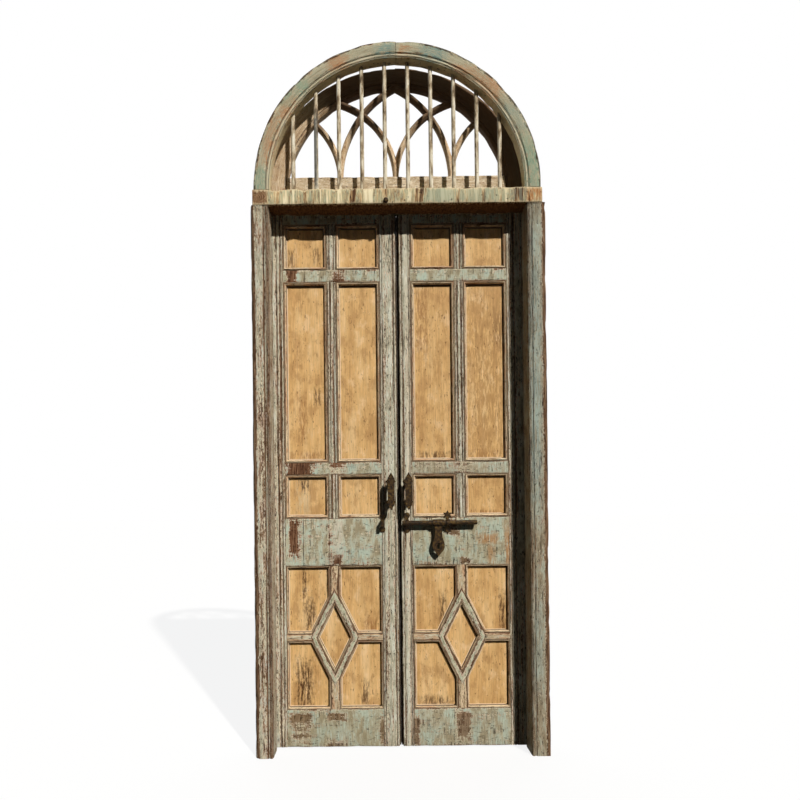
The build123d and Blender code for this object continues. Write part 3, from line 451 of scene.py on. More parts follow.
# %% Panel wood
def panel_wood(name, stains):
    """Honey pine: bands along Z, fine fibre, dark stains in given places, rims pale, or dark with painted shade
    on top and right.
    """
    fin = Finish(name)
    band = fin.noise(fin.place, (17, 1, 2.2), 6.0, 0.6)
    fibre = fin.noise(fin.place, (330, 60, 16), 3.0, 0.6)
    cloud = fin.noise(fin.place, (14, 1, 8), 7.0, 0.66, (3, 0, 1))
    streak = fin.noise(fin.place, (110, 1, 20), 5.0, 0.65, (5, 0, 2))
    colour = fin.ramp(band, [(0.36, (198, 156, 102)), (0.5, (215, 174, 117)), (0.64, (226, 190, 138))])
    colour = fin.mix(fin.times(fin.step(cloud, 0.49, 0.62), 0.6), colour, (172, 130, 82))
    colour = fin.mix(fin.times(fin.step(cloud, 0.46, 0.36), 0.5), colour, (236, 204, 160))
    for place, tint in stains:
        torn = fin.times(fin.patch(place, 0.9, 0.6), fin.step(streak, 0.4, 0.56))
        colour = fin.mix(fin.times(torn, place[4]), colour, tint)
    tick = fin.step(fin.noise(fin.place, (150, 60, 45), 4.0, 0.66), 0.62, 0.67)
    colour = fin.mix(fin.times(tick, 0.75), colour, (88, 56, 32))
    colour = tinted(fin, colour, fin.step(fibre, 0.3, 0.7, 0.84, 1.08))
    rim = fin.add(fin.value("seam"), fin.swing(fin.noise(fin.place, 90.0), 0.7))
    colour = fin.mix(fin.step(rim, 0.42, 0.72, 0.0, 0.8), colour, (240, 213, 180))
    # Painted shade: on a panel the arris value marks its top and right rims, which are made dark where the
    # moulding's edge shades them.
    colour = fin.mix(fin.step(fin.value("arris"), 0.4, 0.7, 0.0, 0.92), colour, (46, 28, 17))
    return fin.surface(colour, fin.step(band, 0.3, 0.7, 0.52, 0.66), fin.bump(fibre, 0.0005), specular=0.12)


DARK_STAIN, BROWN_STAIN, BLEACHED = (70, 42, 26), (136, 88, 48), (206, 184, 146)
panel_stains = tints(
    (296, 480, 309, 514, 0.7, BLEACHED), (300, 480, 309, 492, 0.9, DARK_STAIN),
    (302, 568, 306, 604, 0.95, DARK_STAIN), (326, 568, 332, 592, 0.9, DARK_STAIN),
    (305, 600, 315, 634, 0.85, DARK_STAIN), (296, 664, 313, 710, 0.95, DARK_STAIN),
    (362, 684, 369, 706, 0.8, DARK_STAIN), (364, 620, 379, 634, 0.6, BROWN_STAIN),
    (286, 250, 294, 268, 0.7, DARK_STAIN), (312, 246, 320, 262, 0.6, DARK_STAIN),
    (422, 452, 448, 461, 0.95, DARK_STAIN), (494, 312, 504, 346, 0.9, DARK_STAIN),
    (474, 450, 500, 460, 0.7, BROWN_STAIN), (416, 288, 428, 350, 0.6, BROWN_STAIN),
    (500, 596, 506, 632, 0.9, DARK_STAIN), (440, 596, 447, 622, 0.8, DARK_STAIN),
    (424, 698, 452, 712, 0.85, DARK_STAIN), (470, 510, 504, 518, 0.7, BROWN_STAIN),
    (484, 268, 500, 280, 0.6, DARK_STAIN), (290, 452, 322, 461, 0.55, BROWN_STAIN),
    (466, 280, 508, 470, 0.8, (176, 136, 86)), (412, 280, 456, 470, 0.25, (180, 140, 90)),
    (314, 388, 320, 404, 0.8, DARK_STAIN), (298, 400, 306, 440, 0.6, BROWN_STAIN),
)
panel_finish = panel_wood("panel_wood", panel_stains)
print("panel stains", len(panel_stains))

# %% [markdown]
# ## Patina on the arch and the sash
# The arch has a blue-green patina with rust streaks. The sash behind it is stained brown, with painted
# shadow where the arch shades it, and the arch's soffit is lifted with painted light. One recipe serves
# both with other colours: slow noise along the grain picks the coat, and quicker noises rust, chip and
# speck it.


# %% Patina
def patina(name, stops, rust, dark, pale, seed, patches=(), stains=(), soffit_light=None, arch_shadow=None):
    """Weathered coat: blotch colours from a slow noise along the grain, rust, pale chips and dark specks.

    Soffit light (centre z, radius, tint) gives the hollow side of an arch a pale tint, its own tan lifted as
    painted light from below, and leaves its bead pale and its outer arris nicked and dark. Arch shadow
    (share of x, share of z, start, full, tint) paints the front dark as painted shadow of the arch where
    share_x * x + share_z * (z - bar top) passes start, and such a piece has no pale chips.
    """
    fin = Finish(name)
    blotch = fin.noise(fin.grain, (9, 26, 1), 8.0, 0.65, (seed, 0, 0))
    streak = fin.noise(fin.grain, (10, 130, 1), 6.0, 0.65, (0, seed, 0))
    flake = fin.noise(fin.grain, (70, 150, 1), 5.0, 0.7, (seed, 2, 0))
    mottle = fin.noise(fin.grain, (26, 60, 1), 7.0, 0.7, (seed, 5, 0))
    colour = fin.ramp(fin.blend((blotch, 0.3), (mottle, 0.35), (flake, 0.35)), stops)
    rusty = fin.blend((streak, 0.6), (blotch, 0.4))
    for place in patches:
        rusty = fin.add(rusty, fin.times(fin.patch(place, 0.9, 0.6), place[4]))
    rusty = fin.times(fin.step(rusty, 0.54, 0.585), fin.step(mottle, 0.43, 0.49))
    colour = fin.mix(fin.times(rusty, 0.75), colour, rust)
    for place, tint in stains:
        torn = fin.times(fin.patch(place, 0.9, 0.5), fin.step(mottle, 0.46, 0.5))
        colour = fin.mix(fin.times(torn, place[4]), colour, tint)
    if soffit_light:
        centre, radius, tint = soffit_light
        from_centre = fin.stretch(fin.place, (1, 0, 1), (0, 0, -centre))
        reach = fin.node("ShaderNodeVectorMath", {0: from_centre}, operation="LENGTH").outputs["Value"]
        # Painted light: the soffit takes a pale tint, its bare tan lifted as if lit from below.
        colour = fin.mix(fin.step(reach, radius + 0.002, radius - 0.001, 0.0, 0.85), colour, tint)
        bead = fin.times(fin.step(reach, radius + 0.004, radius + 0.006),
                         fin.step(reach, radius + 0.015, radius + 0.012))
        colour = fin.mix(fin.times(bead, 0.55), colour, pale)
        nicked = fin.add(reach, fin.swing(mottle, 0.05))
        colour = fin.mix(fin.step(nicked, radius + 0.0615, radius + 0.066, 0.0, 0.85), colour, dark)
    if arch_shadow:
        share_x, share_z, start, full, tint = arch_shadow
        parts = fin.node("ShaderNodeSeparateXYZ", {0: fin.place}).outputs
        inwards = fin.add(fin.times(parts["X"], share_x),
                          fin.times(fin.math("SUBTRACT", parts["Z"], BAR_TOP), share_z))
        ragged = fin.add(inwards, fin.swing(mottle, 0.25))
        # Painted shadow: the arch's shadow on the sash and ribs, darkest up and to the right, and in front
        # only.
        painted_shadow = fin.times(fin.step(ragged, start, full), fin.step(parts["Y"], 0.062, 0.056))
        colour = fin.mix(fin.times(painted_shadow, 0.9), colour, tint)
    else:
        chips = fin.step(fin.blend((flake, 0.7), (mottle, 0.3)), 0.445, 0.43)
        colour = fin.mix(fin.times(chips, 0.75), colour, pale)
    specks = fin.step(fin.blend((streak, 0.3), (flake, 0.4), (mottle, 0.3)), 0.545, 0.565)
    # The specks are real dirt, and the hollow value adds painted shade in the quirks.
    dirt_and_shade = fin.math("MAXIMUM", fin.times(specks, 0.75), fin.times(fin.value("seam"), 0.8))
    colour = fin.mix(dirt_and_shade, colour, dark)
    height = fin.blend((blotch, 0.5), (flake, 0.5), (dirt_and_shade, -0.5))
    return fin.surface(colour, 0.7, fin.bump(height, 0.0014), specular=0.06)


BAR_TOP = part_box("transom_bar")[1][2]
ARCH_LEG, ARCH_WIDTH, ARCH_OUT = 0.014, 0.070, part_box("arch_segment_1")[1][0]
ARCH_IN = ARCH_OUT - ARCH_WIDTH
print("bar top", round(BAR_TOP, 4), "arch from", round(ARCH_IN, 4), "to", round(ARCH_OUT, 4))

# %% Arch and sash finishes
TEAL, GREEN = (126, 154, 146), (134, 158, 136)
arch_rust = spots((262, 118, 280, 165, 0.1), (280, 98, 296, 118, 0.14), (328, 56, 348, 70, 0.14),
                  (455, 66, 478, 84, 0.1), (480, 78, 500, 102, 0.16), (398, 44, 410, 56, 0.1), depth=FRAME_FACE)
crown_joint = ((0.0, 3.09, 0.0022, 0.06, 0.9), (58, 46, 36))
arch_tints = [*tints((248, 168, 264, 190, 0.95, GREEN), (296, 80, 308, 96, 0.9, GREEN),
                     (278, 92, 292, 106, 0.6, GREEN), (376, 42, 394, 56, 0.95, TEAL),
                     (420, 46, 446, 62, 0.85, TEAL), (505, 104, 526, 130, 0.5, TEAL),
                     (522, 136, 540, 188, 0.95, GREEN), depth=FRAME_FACE), crown_joint]
# The soffit's tint (242, 222, 178) is the arch's own tan, lifted as painted light.
arch_finish = patina("arch_patina",
                     [(0.42, (104, 92, 72)), (0.46, (172, 156, 126)), (0.49, (152, 160, 142)),
                      (0.52, (200, 186, 154)), (0.55, (166, 172, 154)), (0.59, (224, 213, 186))],
                     (180, 124, 80), (60, 46, 34), (214, 202, 174), 61.0,
                     arch_rust, arch_tints, soffit_light=(BAR_TOP + ARCH_LEG, ARCH_IN, (242, 222, 178)))
# Dark brown for the painted shadow that the arch throws on the sash and the ribs.
SHADOW_BROWN = (88, 66, 48)
sash_coats = [(0.42, (132, 102, 76)), (0.47, (176, 150, 118)), (0.53, (198, 178, 150)),
              (0.59, (218, 204, 180))]
sash_tail = (146, 104, 72), (60, 43, 32), (222, 208, 184)
sash_finish = patina("sash_paint", sash_coats, *sash_tail, 71.0, arch_shadow=(0.5, 0.87, 0.12, 0.3, SHADOW_BROWN))
RIB_LIFT = 1.25
rib_coats = [(place, tuple(min(1.0, RIB_LIFT * part) for part in shade(colour)))
             for place, colour in sash_coats]
rib_finish = patina("rib_paint", rib_coats, *sash_tail, 73.0, arch_shadow=(0.0, 1.0, 0.24, 0.38, SHADOW_BROWN))
sash_rail_coats = [(0.44, (124, 98, 72)), (0.475, (174, 152, 122)), (0.51, (196, 178, 150)),
                   (0.545, (222, 209, 186))]
sash_rail_finish = patina("sash_rail_paint", sash_rail_coats, *sash_tail, 75.0)
print("arch rust", len(arch_rust), "arch stains", len(arch_tints))

# %% [markdown]
# ## The bar's runs of paint
# Rain drew the old coats down the bar's face in short runs of cream, tan, sage and brown, and its ends
# and underside are bare. Noise that is quick along X and slow along Z makes the runs, and a ramp with
# many stops gives each run a colour.


# %% Bar paint
def bar_paint(name, underside):
    """Bar: runs of cream, tan, sage and brown down its face, bare knotty ends and a bare underside."""
    fin = Finish(name)
    run = fin.noise(fin.place, (38, 20, 2.6), 4.0, 0.5)
    fine = fin.noise(fin.place, (150, 90, 14), 5.0, 0.65)
    slow = fin.noise(fin.place, (7, 4, 2), 3.0, 0.5, (4, 0, 0))
    spread = fin.step(fin.blend((run, 0.78), (fine, 0.22)), 0.37, 0.63)
    colour = fin.ramp(spread, [
        (0.04, (84, 58, 40)), (0.16, (176, 140, 98)), (0.3, (226, 208, 166)), (0.4, (146, 150, 124)),
        (0.52, (200, 178, 138)), (0.6, (128, 98, 70)), (0.68, (170, 174, 148)), (0.84, (214, 196, 154)),
        (0.96, (238, 226, 192))])
    colour = fin.mix(fin.step(slow, 0.52, 0.62, 0.0, 0.35), colour, (152, 166, 144))
    knots = fin.node("ShaderNodeTexWave", {
        "Vector": fin.stretch(fin.place, (1, 1, 2.4), (0.62, 0, -5.87)),
        "Scale": 30.0, "Distortion": 6.0, "Detail": 3.0, "Detail Scale": 3.0,
    }, wave_type="RINGS", rings_direction="Y").outputs["Fac"]
    bare = fin.ramp(knots, [(0.1, (70, 46, 32)), (0.5, (128, 92, 66)), (0.9, (164, 132, 98))])

    def on_face(x0, y0, x1, y1, ragged, soft):
        return fin.patch(spot(x0, y0, x1, y1, 1, FRAME_FACE), ragged, soft)

    sage = fin.times(on_face(420, 180, 505, 208, 0.5, 0.4), fin.step(run, 0.36, 0.5))
    colour = fin.mix(fin.times(sage, 0.5), colour, (158, 166, 144))
    colour = fin.mix(on_face(246, 188, 266.5, 208, 0.15, 0.12), colour, bare)
    rusty = fin.times(on_face(527, 184, 543, 203, 0.9, 0.5), fin.step(fine, 0.4, 0.54))
    colour = fin.mix(fin.times(rusty, 0.8), colour, (176, 116, 64))
    grey = fin.times(on_face(512, 186, 526, 203, 0.6, 0.4), fin.step(fine, 0.38, 0.5))
    colour = fin.mix(fin.times(grey, 0.75), colour, (122, 120, 104))
    height_up = fin.node("ShaderNodeSeparateXYZ", {0: fin.place}).outputs["Z"]
    foot = underside + 0.0015
    under = fin.ramp(fine, [(0.4, (76, 50, 30)), (0.6, (126, 90, 58))])
    colour = fin.mix(fin.step(height_up, foot + 0.003, foot), colour, under)
    hole = fin.step(fin.noise(fin.place, (60, 60, 60), 4.0, 0.65), 0.64, 0.69)
    worn = fin.add(fin.times(fin.value("arris"), 0.35), fine)
    colour = fin.mix(fin.step(worn, 0.66, 0.78, 0.0, 0.7), colour, (214, 196, 160))
    colour = fin.mix(fin.times(hole, 0.8), colour, (48, 34, 24))
    height = fin.add(run, fin.times(fine, 0.6), fin.times(hole, -1.0))
    return fin.surface(colour, 0.72, fin.bump(height, 0.0014), specular=0.06)


bar_finish = bar_paint("bar_paint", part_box("transom_bar")[0][2])
print("bar paint nodes", len(bar_finish.node_tree.nodes))

# %% [markdown]
# ## Forged iron and chalky rods
# The ironwork is dark and hammered, with brown rust in its hollows. The rods are off-white, with grime
# that ran down them. Both are small in view, so a few noises are enough.


# %% Iron and rods
def forged_iron(name):
    """Dark iron with an olive bloom, brown rust in the hollows and a hammered surface."""
    fin = Finish(name)
    hammer = fin.noise(fin.place, 90.0, 3.0, 0.5)
    fine = fin.noise(fin.place, 600.0, 3.0, 0.6)
    colour = fin.ramp(hammer, [(0.34, (22, 14, 8)), (0.5, (50, 35, 17)), (0.68, (88, 68, 34))])
    colour = fin.mix(fin.step(fine, 0.58, 0.7, 0.0, 0.4), colour, (88, 58, 34))
    rough = fin.step(hammer, 0.3, 0.7, 0.46, 0.62)
    height = fin.blend((hammer, 0.8), (fine, 0.2))
    return fin.surface(colour, rough, fin.bump(height, 0.0012), metallic=0.2, specular=0.15)


def rod_chalk(name):
    """Chalky off-white paint with grime that runs down the rods."""
    fin = Finish(name)
    grime_and_shade = fin.noise(fin.place, (60, 60, 14), 6.0, 0.65)
    colour = fin.ramp(grime_and_shade, [(0.38, (98, 82, 62)), (0.46, (172, 154, 126)), (0.53, (212, 202, 178)),
                              (0.64, (228, 222, 206))])
    chip = fin.step(fin.noise(fin.place, 150.0, 3.0, 0.7), 0.62, 0.67)
    colour = fin.mix(fin.times(chip, 0.7), colour, (96, 72, 52))
    bare = fin.patch(spot(310, 118, 318, 190, 1, ROD_PLANE), 0.5, 0.3)
    colour = fin.mix(fin.times(bare, 0.85), colour, (84, 86, 86))
    return fin.surface(colour, 0.66, fin.bump(grime_and_shade, 0.0006), specular=0.1)


iron_finish = forged_iron("forged_iron")
rod_finish = rod_chalk("rod_chalk")
print("finishes", len(bpy.data.materials))

# %% [markdown]
# ## Skins for the timbers
# A dressed piece is one mesh of closed tubes that stands for its solid. Its points carry what the paint
# needs: their place along and round the timber, how near an arris they are, and how deep in a hollow,
# which the paints darken as painted shade. A panel carries its shaded rim and its pale rim in the last two.
# These are named attributes, because attributes stay with the mesh when a leaf swings.


# %% Skins
def seed_of(name):
    """A fixed number from a piece's name."""
    return zlib.crc32(name.encode()) % 100000


class Skin:
    """Closed tubes, each a grid of sections by outline points, gathered into one mesh."""

    def __init__(self, name):
        self.name = name
        self.points, self.faces, self.grain, self.arris, self.seam = [], [], [], [], []
        self.count = 0

    def tube(self, grid, grain, arris, seam, loop=False):
        """Quads between neighbouring sections; a face closes each end unless the path is a loop."""
        rows, columns = grid.shape[:2]
        index = np.arange(rows * columns).reshape(rows, columns) + self.count
        along = index if loop else index[:-1]
        ahead = np.roll(index, -1, axis=0) if loop else index[1:]
        quads = np.stack([along, np.roll(along, -1, 1), np.roll(ahead, -1, 1), ahead], -1)
        self.faces += quads.reshape(-1, 4).tolist()
        if not loop:
            self.faces += [index[0][::-1].tolist(), index[-1].tolist()]
        self.points.append(grid.reshape(-1, 3))
        self.grain.append(grain.reshape(-1, 3))
        self.arris.append(np.broadcast_to(arris, (rows, columns)).reshape(-1))
        self.seam.append(np.broadcast_to(seam, (rows, columns)).reshape(-1))
        self.count += rows * columns

    def piece(self, body, finish, node, smooth=40):
        """The mesh as an object that rides on a body and stands for a CAD node."""
        mesh = bpy.data.meshes.new(self.name)
        mesh.from_pydata(np.concatenate(self.points).tolist(), [], self.faces)
        sorter = bmesh.new()
        sorter.from_mesh(mesh)
        bmesh.ops.recalc_face_normals(sorter, faces=sorter.faces[:])
        sorter.to_mesh(mesh)
        sorter.free()
        for name, kind, values in (("grain", "FLOAT_VECTOR", self.grain), ("arris", "FLOAT", self.arris),
                                   ("seam", "FLOAT", self.seam)):
            layer = mesh.attributes.new(name, kind, "POINT")
            key = "vector" if kind == "FLOAT_VECTOR" else "value"
            layer.data.foreach_set(key, np.concatenate(values).astype(np.float32).ravel())
        mesh.polygons.foreach_set("use_smooth", np.ones(len(mesh.polygons), bool))
        mesh.set_sharp_from_angle(angle=math.radians(smooth))
        mesh.materials.append(finish)
        place_piece(bpy.data.objects.new(self.name, mesh), body, node)


def place_piece(made, body, node):
    """Link an object, tie it to its body, and hide what it replaces."""
    bpy.context.scene.collection.objects.link(made)
    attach(made, body)
    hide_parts(node)


print("a skin carries grain, arris and seam")

# %% [markdown]
# ## Timber as a carried profile
# A weathered post or rail is one cross-section carried along a line. The section's corners are
# rounded, and at every station along the line each outer corner is pushed in a little by a noise,
# so the arrises come out nicked as on old joinery. A bevel would round them evenly, as if new.


# %% Worn sections
def wander(places, spacing, generator):
    """Smooth noise 0..1 along a line: random values at even spacing, joined by interpolation."""
    count = int(np.ptp(places) / spacing) + 3
    return np.interp((places - places.min()) / spacing, np.arange(count), generator.random(count))


def turning(points):
    """Twice a polygon's area, positive anticlockwise: sum of x y' - x' y."""
    return np.sum(points[:, 0] * np.roll(points[:, 1], -1) - np.roll(points[:, 0], -1) * points[:, 1])


def rounded(corners, radius):
    """Outline with each corner C eased: C + r ((1 - t)^2 p + t^2 n), p and n along its two sides."""
    corners = np.asarray(corners, float)
    back = np.roll(corners, 1, 0) - corners
    ahead = np.roll(corners, -1, 0) - corners
    back_long = np.linalg.norm(back, axis=1, keepdims=True)
    ahead_long = np.linalg.norm(ahead, axis=1, keepdims=True)
    p, n = back / back_long, ahead / ahead_long
    reach = np.minimum(radius, 0.3 * np.minimum(back_long, ahead_long))
    t = np.linspace(0, 1, 4)[None, :, None]
    arc = reach[:, None] * ((1 - t) ** 2 * p[:, None] + t ** 2 * n[:, None])
    first = (p * np.minimum(5 * reach, 0.42 * back_long))[:, None]
    last = (n * np.minimum(5 * reach, 0.42 * ahead_long))[:, None]
    outline = corners[:, None] + np.concatenate([first, arc, last], 1)
    turn = (p[:, 1] * n[:, 0] - p[:, 0] * n[:, 1]) * np.sign(turning(corners))
    spread = np.array([0, 0.7, 1, 1, 0.7, 0])[None]
    worn = ((turn > 0.05).astype(float)[:, None] * spread).reshape(-1)
    hollow = ((turn < -0.05).astype(float)[:, None] * spread).reshape(-1)
    inward = (p + n) / np.maximum(np.linalg.norm(p + n, axis=1, keepdims=True), 1e-6)
    return outline.reshape(-1, 2), worn, hollow, np.repeat(inward, 6, 0)


def worn_section(corners, stations, radius, chip, seed, firm=()):
    """The rounded outline at every station, its outer corners but the firm ones pushed in by chip * noise^3."""
    generator = np.random.default_rng(seed)
    outline, worn, hollow, inward = rounded(corners, radius)
    count = len(corners)
    depth = np.stack([wander(stations, 0.045, generator) for _ in range(count)], 1)
    fine = np.stack([wander(stations, 0.014, generator) for _ in range(count)], 1)
    depth = chip * depth ** 3 * (0.4 + fine)
    depth[:, list(firm)] = 0.0
    depth = np.repeat(depth, 6, 1)
    sections = outline[None] + (depth * worn[None])[..., None] * inward[None]
    steps = np.linalg.norm(np.diff(outline, axis=0, append=outline[:1]), axis=1)
    around = np.concatenate([[0], np.cumsum(steps)[:-1]])
    return sections, worn, hollow, around


print("points on a square section", len(rounded([(0, 0), (1, 0), (1, 1), (0, 1)], 0.1)[0]))


# %% Straight timber
def grain_at(grid, along, around, number):
    """Grain coordinates on a grid: place along the piece, place round it, and a number of its own."""
    grain = np.empty(grid.shape)
    grain[..., 0], grain[..., 1], grain[..., 2] = along, around, number
    return grain


def timber(skin, corners, start, end, across, up, radius=0.0022, chip=0.005, shadowed=(), firm=(), mark=""):
    """Straight timber: point = start + s (end - start) + u across + v up, (u, v) on the section.

    The corners numbered in shadowed take the full painted shade of a hollow, and those in firm are never
    nicked.
    """
    start, end = np.asarray(start, float), np.asarray(end, float)
    length = np.linalg.norm(end - start)
    stations = np.linspace(0, length, max(3, int(length / STATION)))
    seed = seed_of(skin.name + mark)
    sections, worn, hollow, around = worn_section(corners, stations, radius, chip, seed, firm)
    hollow.reshape(-1, 6)[list(shadowed)] = 1.0
    spine = start + (stations / length)[:, None] * (end - start)
    across, up = np.asarray(across, float), np.asarray(up, float)
    grid = spine[:, None] + sections[..., :1] * across + sections[..., 1:] * up
    skin.tube(grid, grain_at(grid, stations[:, None], around, seed % 89), worn, hollow)


STATION = 0.022
X_AXIS, Y_AXIS, Z_AXIS = np.eye(3)
print("straight timber has a station every", STATION, "m")

# %% [markdown]
# ## Posts and transom bar
# Each post is a stout timber with a bead worked on its inner front edge and a rebate behind for the
# leaf. The plan of the post is written as corners, with the bead as a few points on a half circle,
# and carried from the floor to the bar. The bar is carried sideways in the same way.


# %% Posts and bar
def corner_box(name):
    """Lowest and highest corner of a CAD node as arrays."""
    low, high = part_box(name)
    return np.array(low), np.array(high)


def post_plan(side):
    """Corners of the post in plan: bead and quirk inside the front edge, rebate at the inner back."""
    low, high = corner_box("right_post")
    front, back = low[1], high[1]
    inner, outer = low[0], high[0]
    rebate_front = corner_box("right_hinge_stile")[0][1]
    bead, quirk, rebate = 0.008, 0.004, 0.012
    turn = np.linspace(0, np.pi, 7)
    roll = np.stack([inner + bead - bead * np.cos(turn), front + bead - bead * np.sin(turn)], 1)
    worn_edge = [(outer - 0.010, front), (outer, front + 0.022)] if side < 0 else [(outer, front)]
    plan = [(inner, rebate_front), *roll[:-1].tolist(), (inner + 2 * bead, front + quirk),
            (inner + 2 * bead + quirk, front + quirk), (inner + 2 * bead + quirk, front),
            *worn_edge, (outer, back), (inner + rebate, back), (inner + rebate, rebate_front)]
    return np.array(plan) * (side, 1)


for side, name, finish in ((-1, "left", post_left_finish), (1, "right", post_right_finish)):
    skin = Skin(f"worn_{name}_post")
    top = corner_box("transom_bar")[0][2]
    timber(skin, post_plan(side), (0, 0, 0), (0, 0, top), X_AXIS, Y_AXIS, radius=0.003, chip=0.009)
    skin.piece("frame", finish, f"{name}_post")

low, high = corner_box("transom_bar")
leaf_top, HEAD_GAP = corner_box("left_top_rail")[1][2], 0.003
skin = Skin("worn_transom_bar")
bar_section = [(low[1], low[2]), (low[1], high[2]), (high[1], high[2]), (high[1], leaf_top + HEAD_GAP),
               (LEAF_PLANE, leaf_top + HEAD_GAP), (LEAF_PLANE, low[2])]
timber(skin, bar_section, (low[0], 0, 0), (high[0], 0, 0), Y_AXIS, Z_AXIS, radius=0.004, chip=0.009)
skin.piece("frame", bar_finish, "transom_bar")
print("posts and bar", skin.count, "points in the bar")

# %% [markdown]
# ## The arch
# The arch is the same idea bent: the section is given as radius and depth, and the path is an angle.
# Short straight legs carry the path down to the bar. Four segments meet at fine joints, as they were
# sawn from planks.


# %% Arch
def span(name, axis):
    """Lowest and highest value of a CAD node along an axis."""
    low, high = corner_box(name)
    return low[axis], high[axis]


def bent_timber(skin, corners, centre_z, start, end, leg, radius=0.002, chip=0.005, swell=0.0):
    """Point at angle a: (r cos a, d, centre + r sin a - drop), (r, d) on the section; legs drop straight.

    Outer points gain swell cos^2 a, so a sash can be wider at its haunches than at its crown.
    """
    mean = np.mean([corner[0] for corner in corners])
    angles = np.radians(np.linspace(start, end, max(4, int(abs(end - start) / 2.2))))
    drops = np.zeros(len(angles))
    if start <= 0.01:
        angles, drops = np.append(0.0, angles), np.append(leg, drops)
    if end >= 179.99:
        angles, drops = np.append(angles, np.pi), np.append(drops, leg)
    stations = angles * mean
    seed = seed_of(skin.name)
    sections, worn, hollow, around = worn_section(corners, stations, radius, chip, seed)
    sections[..., 0] += swell * np.cos(angles)[:, None] ** 2 * (sections[..., 0] > mean + 0.02)
    grid = np.empty(sections.shape[:2] + (3,))
    grid[..., 0] = sections[..., 0] * np.cos(angles)[:, None]
    grid[..., 1] = sections[..., 1]
    grid[..., 2] = centre_z + sections[..., 0] * np.sin(angles)[:, None] - drops[:, None]
    skin.tube(grid, grain_at(grid, stations[:, None], around, seed % 89), worn, hollow)


arch_centre = BAR_TOP + ARCH_LEG
front, back = span("arch_segment_1", 1)
arch_section = [(ARCH_OUT, front), (ARCH_OUT, back), (ARCH_IN, back), (ARCH_IN, front + 0.004),
                (ARCH_IN + 0.005, front + 0.004), (ARCH_IN + 0.006, front + 0.001),
                (ARCH_IN + 0.013, front + 0.001), (ARCH_IN + 0.015, front + 0.0035),
                (ARCH_IN + 0.019, front + 0.0035), (ARCH_IN + 0.021, front)]
JOINT = 0.01
for number in range(4):
    skin = Skin(f"worn_arch_segment_{number + 1}")
    first, last = 45 * number, 45 * number + 45
    bent_timber(skin, arch_section, arch_centre, first + (JOINT if number else 0),
                last - (JOINT if number < 3 else 0), ARCH_LEG, radius=0.003, chip=0.006)
    skin.piece("frame", arch_finish, f"arch_segment_{number + 1}")
print("arch radii", round(ARCH_IN, 4), round(ARCH_OUT, 4))

# %% [markdown]
# ## The arch of the sash
# The sash behind is a second, smaller arch in two halves. Its outline swells a little at the haunches,
# where the photograph shows it wider, and the same bent timber makes it.

# %% Sash arch
SASH_LEG, SASH_WIDTH, SASH_OUT = 0.018, 0.080, span("sash_arch_right", 0)[1]
SASH_IN = SASH_OUT - SASH_WIDTH
sash_centre = BAR_TOP + SASH_LEG
front, back = span("sash_arch_right", 1)
sash_section = [(SASH_OUT, front), (SASH_OUT, back), (SASH_IN, back), (SASH_IN, front + 0.012),
                (SASH_IN + 0.010, front + 0.004), (SASH_IN + 0.014, front + 0.004), (SASH_IN + 0.014, front)]
for name, first, last in (("right", 0, 90), ("left", 90, 180)):
    skin = Skin(f"worn_sash_arch_{name}")
    bent_timber(skin, sash_section, sash_centre, first, last, SASH_LEG, chip=0.005, swell=0.012)
    skin.piece("frame", sash_finish, f"sash_arch_{name}")
print("sash radii", round(SASH_IN, 4), round(SASH_OUT, 4))

# %% [markdown]
# ## The sash's bottom rail
# The rail fills the foot of the sash. Its ends follow the arch, so each point's half length comes from
# the circle at that height.

# %% Sash rail
rail_low, rail_high = corner_box("sash_rail")
heights = np.linspace(rail_low[2], rail_high[2], 5)
section = [(front, z) for z in heights] + [(back, z) for z in heights[::-1]]
stations = np.linspace(-1, 1, 60)
skin = Skin("worn_sash_rail")
sections, worn, hollow, around = worn_section(section, stations * SASH_IN, 0.002, 0.006, seed_of(skin.name))
rise = np.clip(sections[..., 1] - sash_centre, 0, SASH_IN)
grid = np.stack([stations[:, None] * np.sqrt(SASH_IN ** 2 - rise ** 2), sections[..., 0], sections[..., 1]], -1)
skin.tube(grid, grain_at(grid, grid[..., 0], around, 5), worn, hollow)
skin.piece("frame", sash_rail_finish, "sash_rail")
print("sash rail from", rail_low[2].round(4), "to", rail_high[2].round(4))

# %% [markdown]
# ## The tracery
# Each rib is an arc that starts upright on the rail and leans until it runs into the arch. Its section
# is a blunt ridge, which gives every rib one bright side and one dark side in low sun.


# %% Tracery ribs
def rib(skin, springing, lean, bend, forward, mark):
    """Arc rib: point at angle f is (c - lean r cos f, rail top + r sin f), r = bend + offset on the section."""
    sweep = np.linspace(0, np.pi / 2, 400)
    spine_x = springing + lean * bend * (1 - np.cos(sweep))
    spine_z = rail_high[2] + bend * np.sin(sweep)
    inside = np.hypot(spine_x, spine_z - sash_centre) < SASH_IN + 0.024
    angles = np.linspace(-0.01, sweep[inside].max(), 44)
    rib_front, rib_back = RIB_FRONT + forward, RIB_BACK
    section = [(-0.004, rib_front), (0.004, rib_front), (0.013, rib_front + 0.012), (0.013, rib_back - 0.006),
               (0.008, rib_back), (-0.008, rib_back), (-0.013, rib_back - 0.006), (-0.013, rib_front + 0.012)]
    seed = seed_of(skin.name + mark)
    sections, worn, hollow, around = worn_section(section, angles * bend, 0.0012, 0.003, seed)
    reach = bend + sections[..., 0]
    grid = np.stack([springing + lean * bend - lean * reach * np.cos(angles)[:, None], sections[..., 1],
                     rail_high[2] + reach * np.sin(angles)[:, None]], -1)
    skin.tube(grid, grain_at(grid, (angles * bend)[:, None], around, seed % 89), worn, hollow)


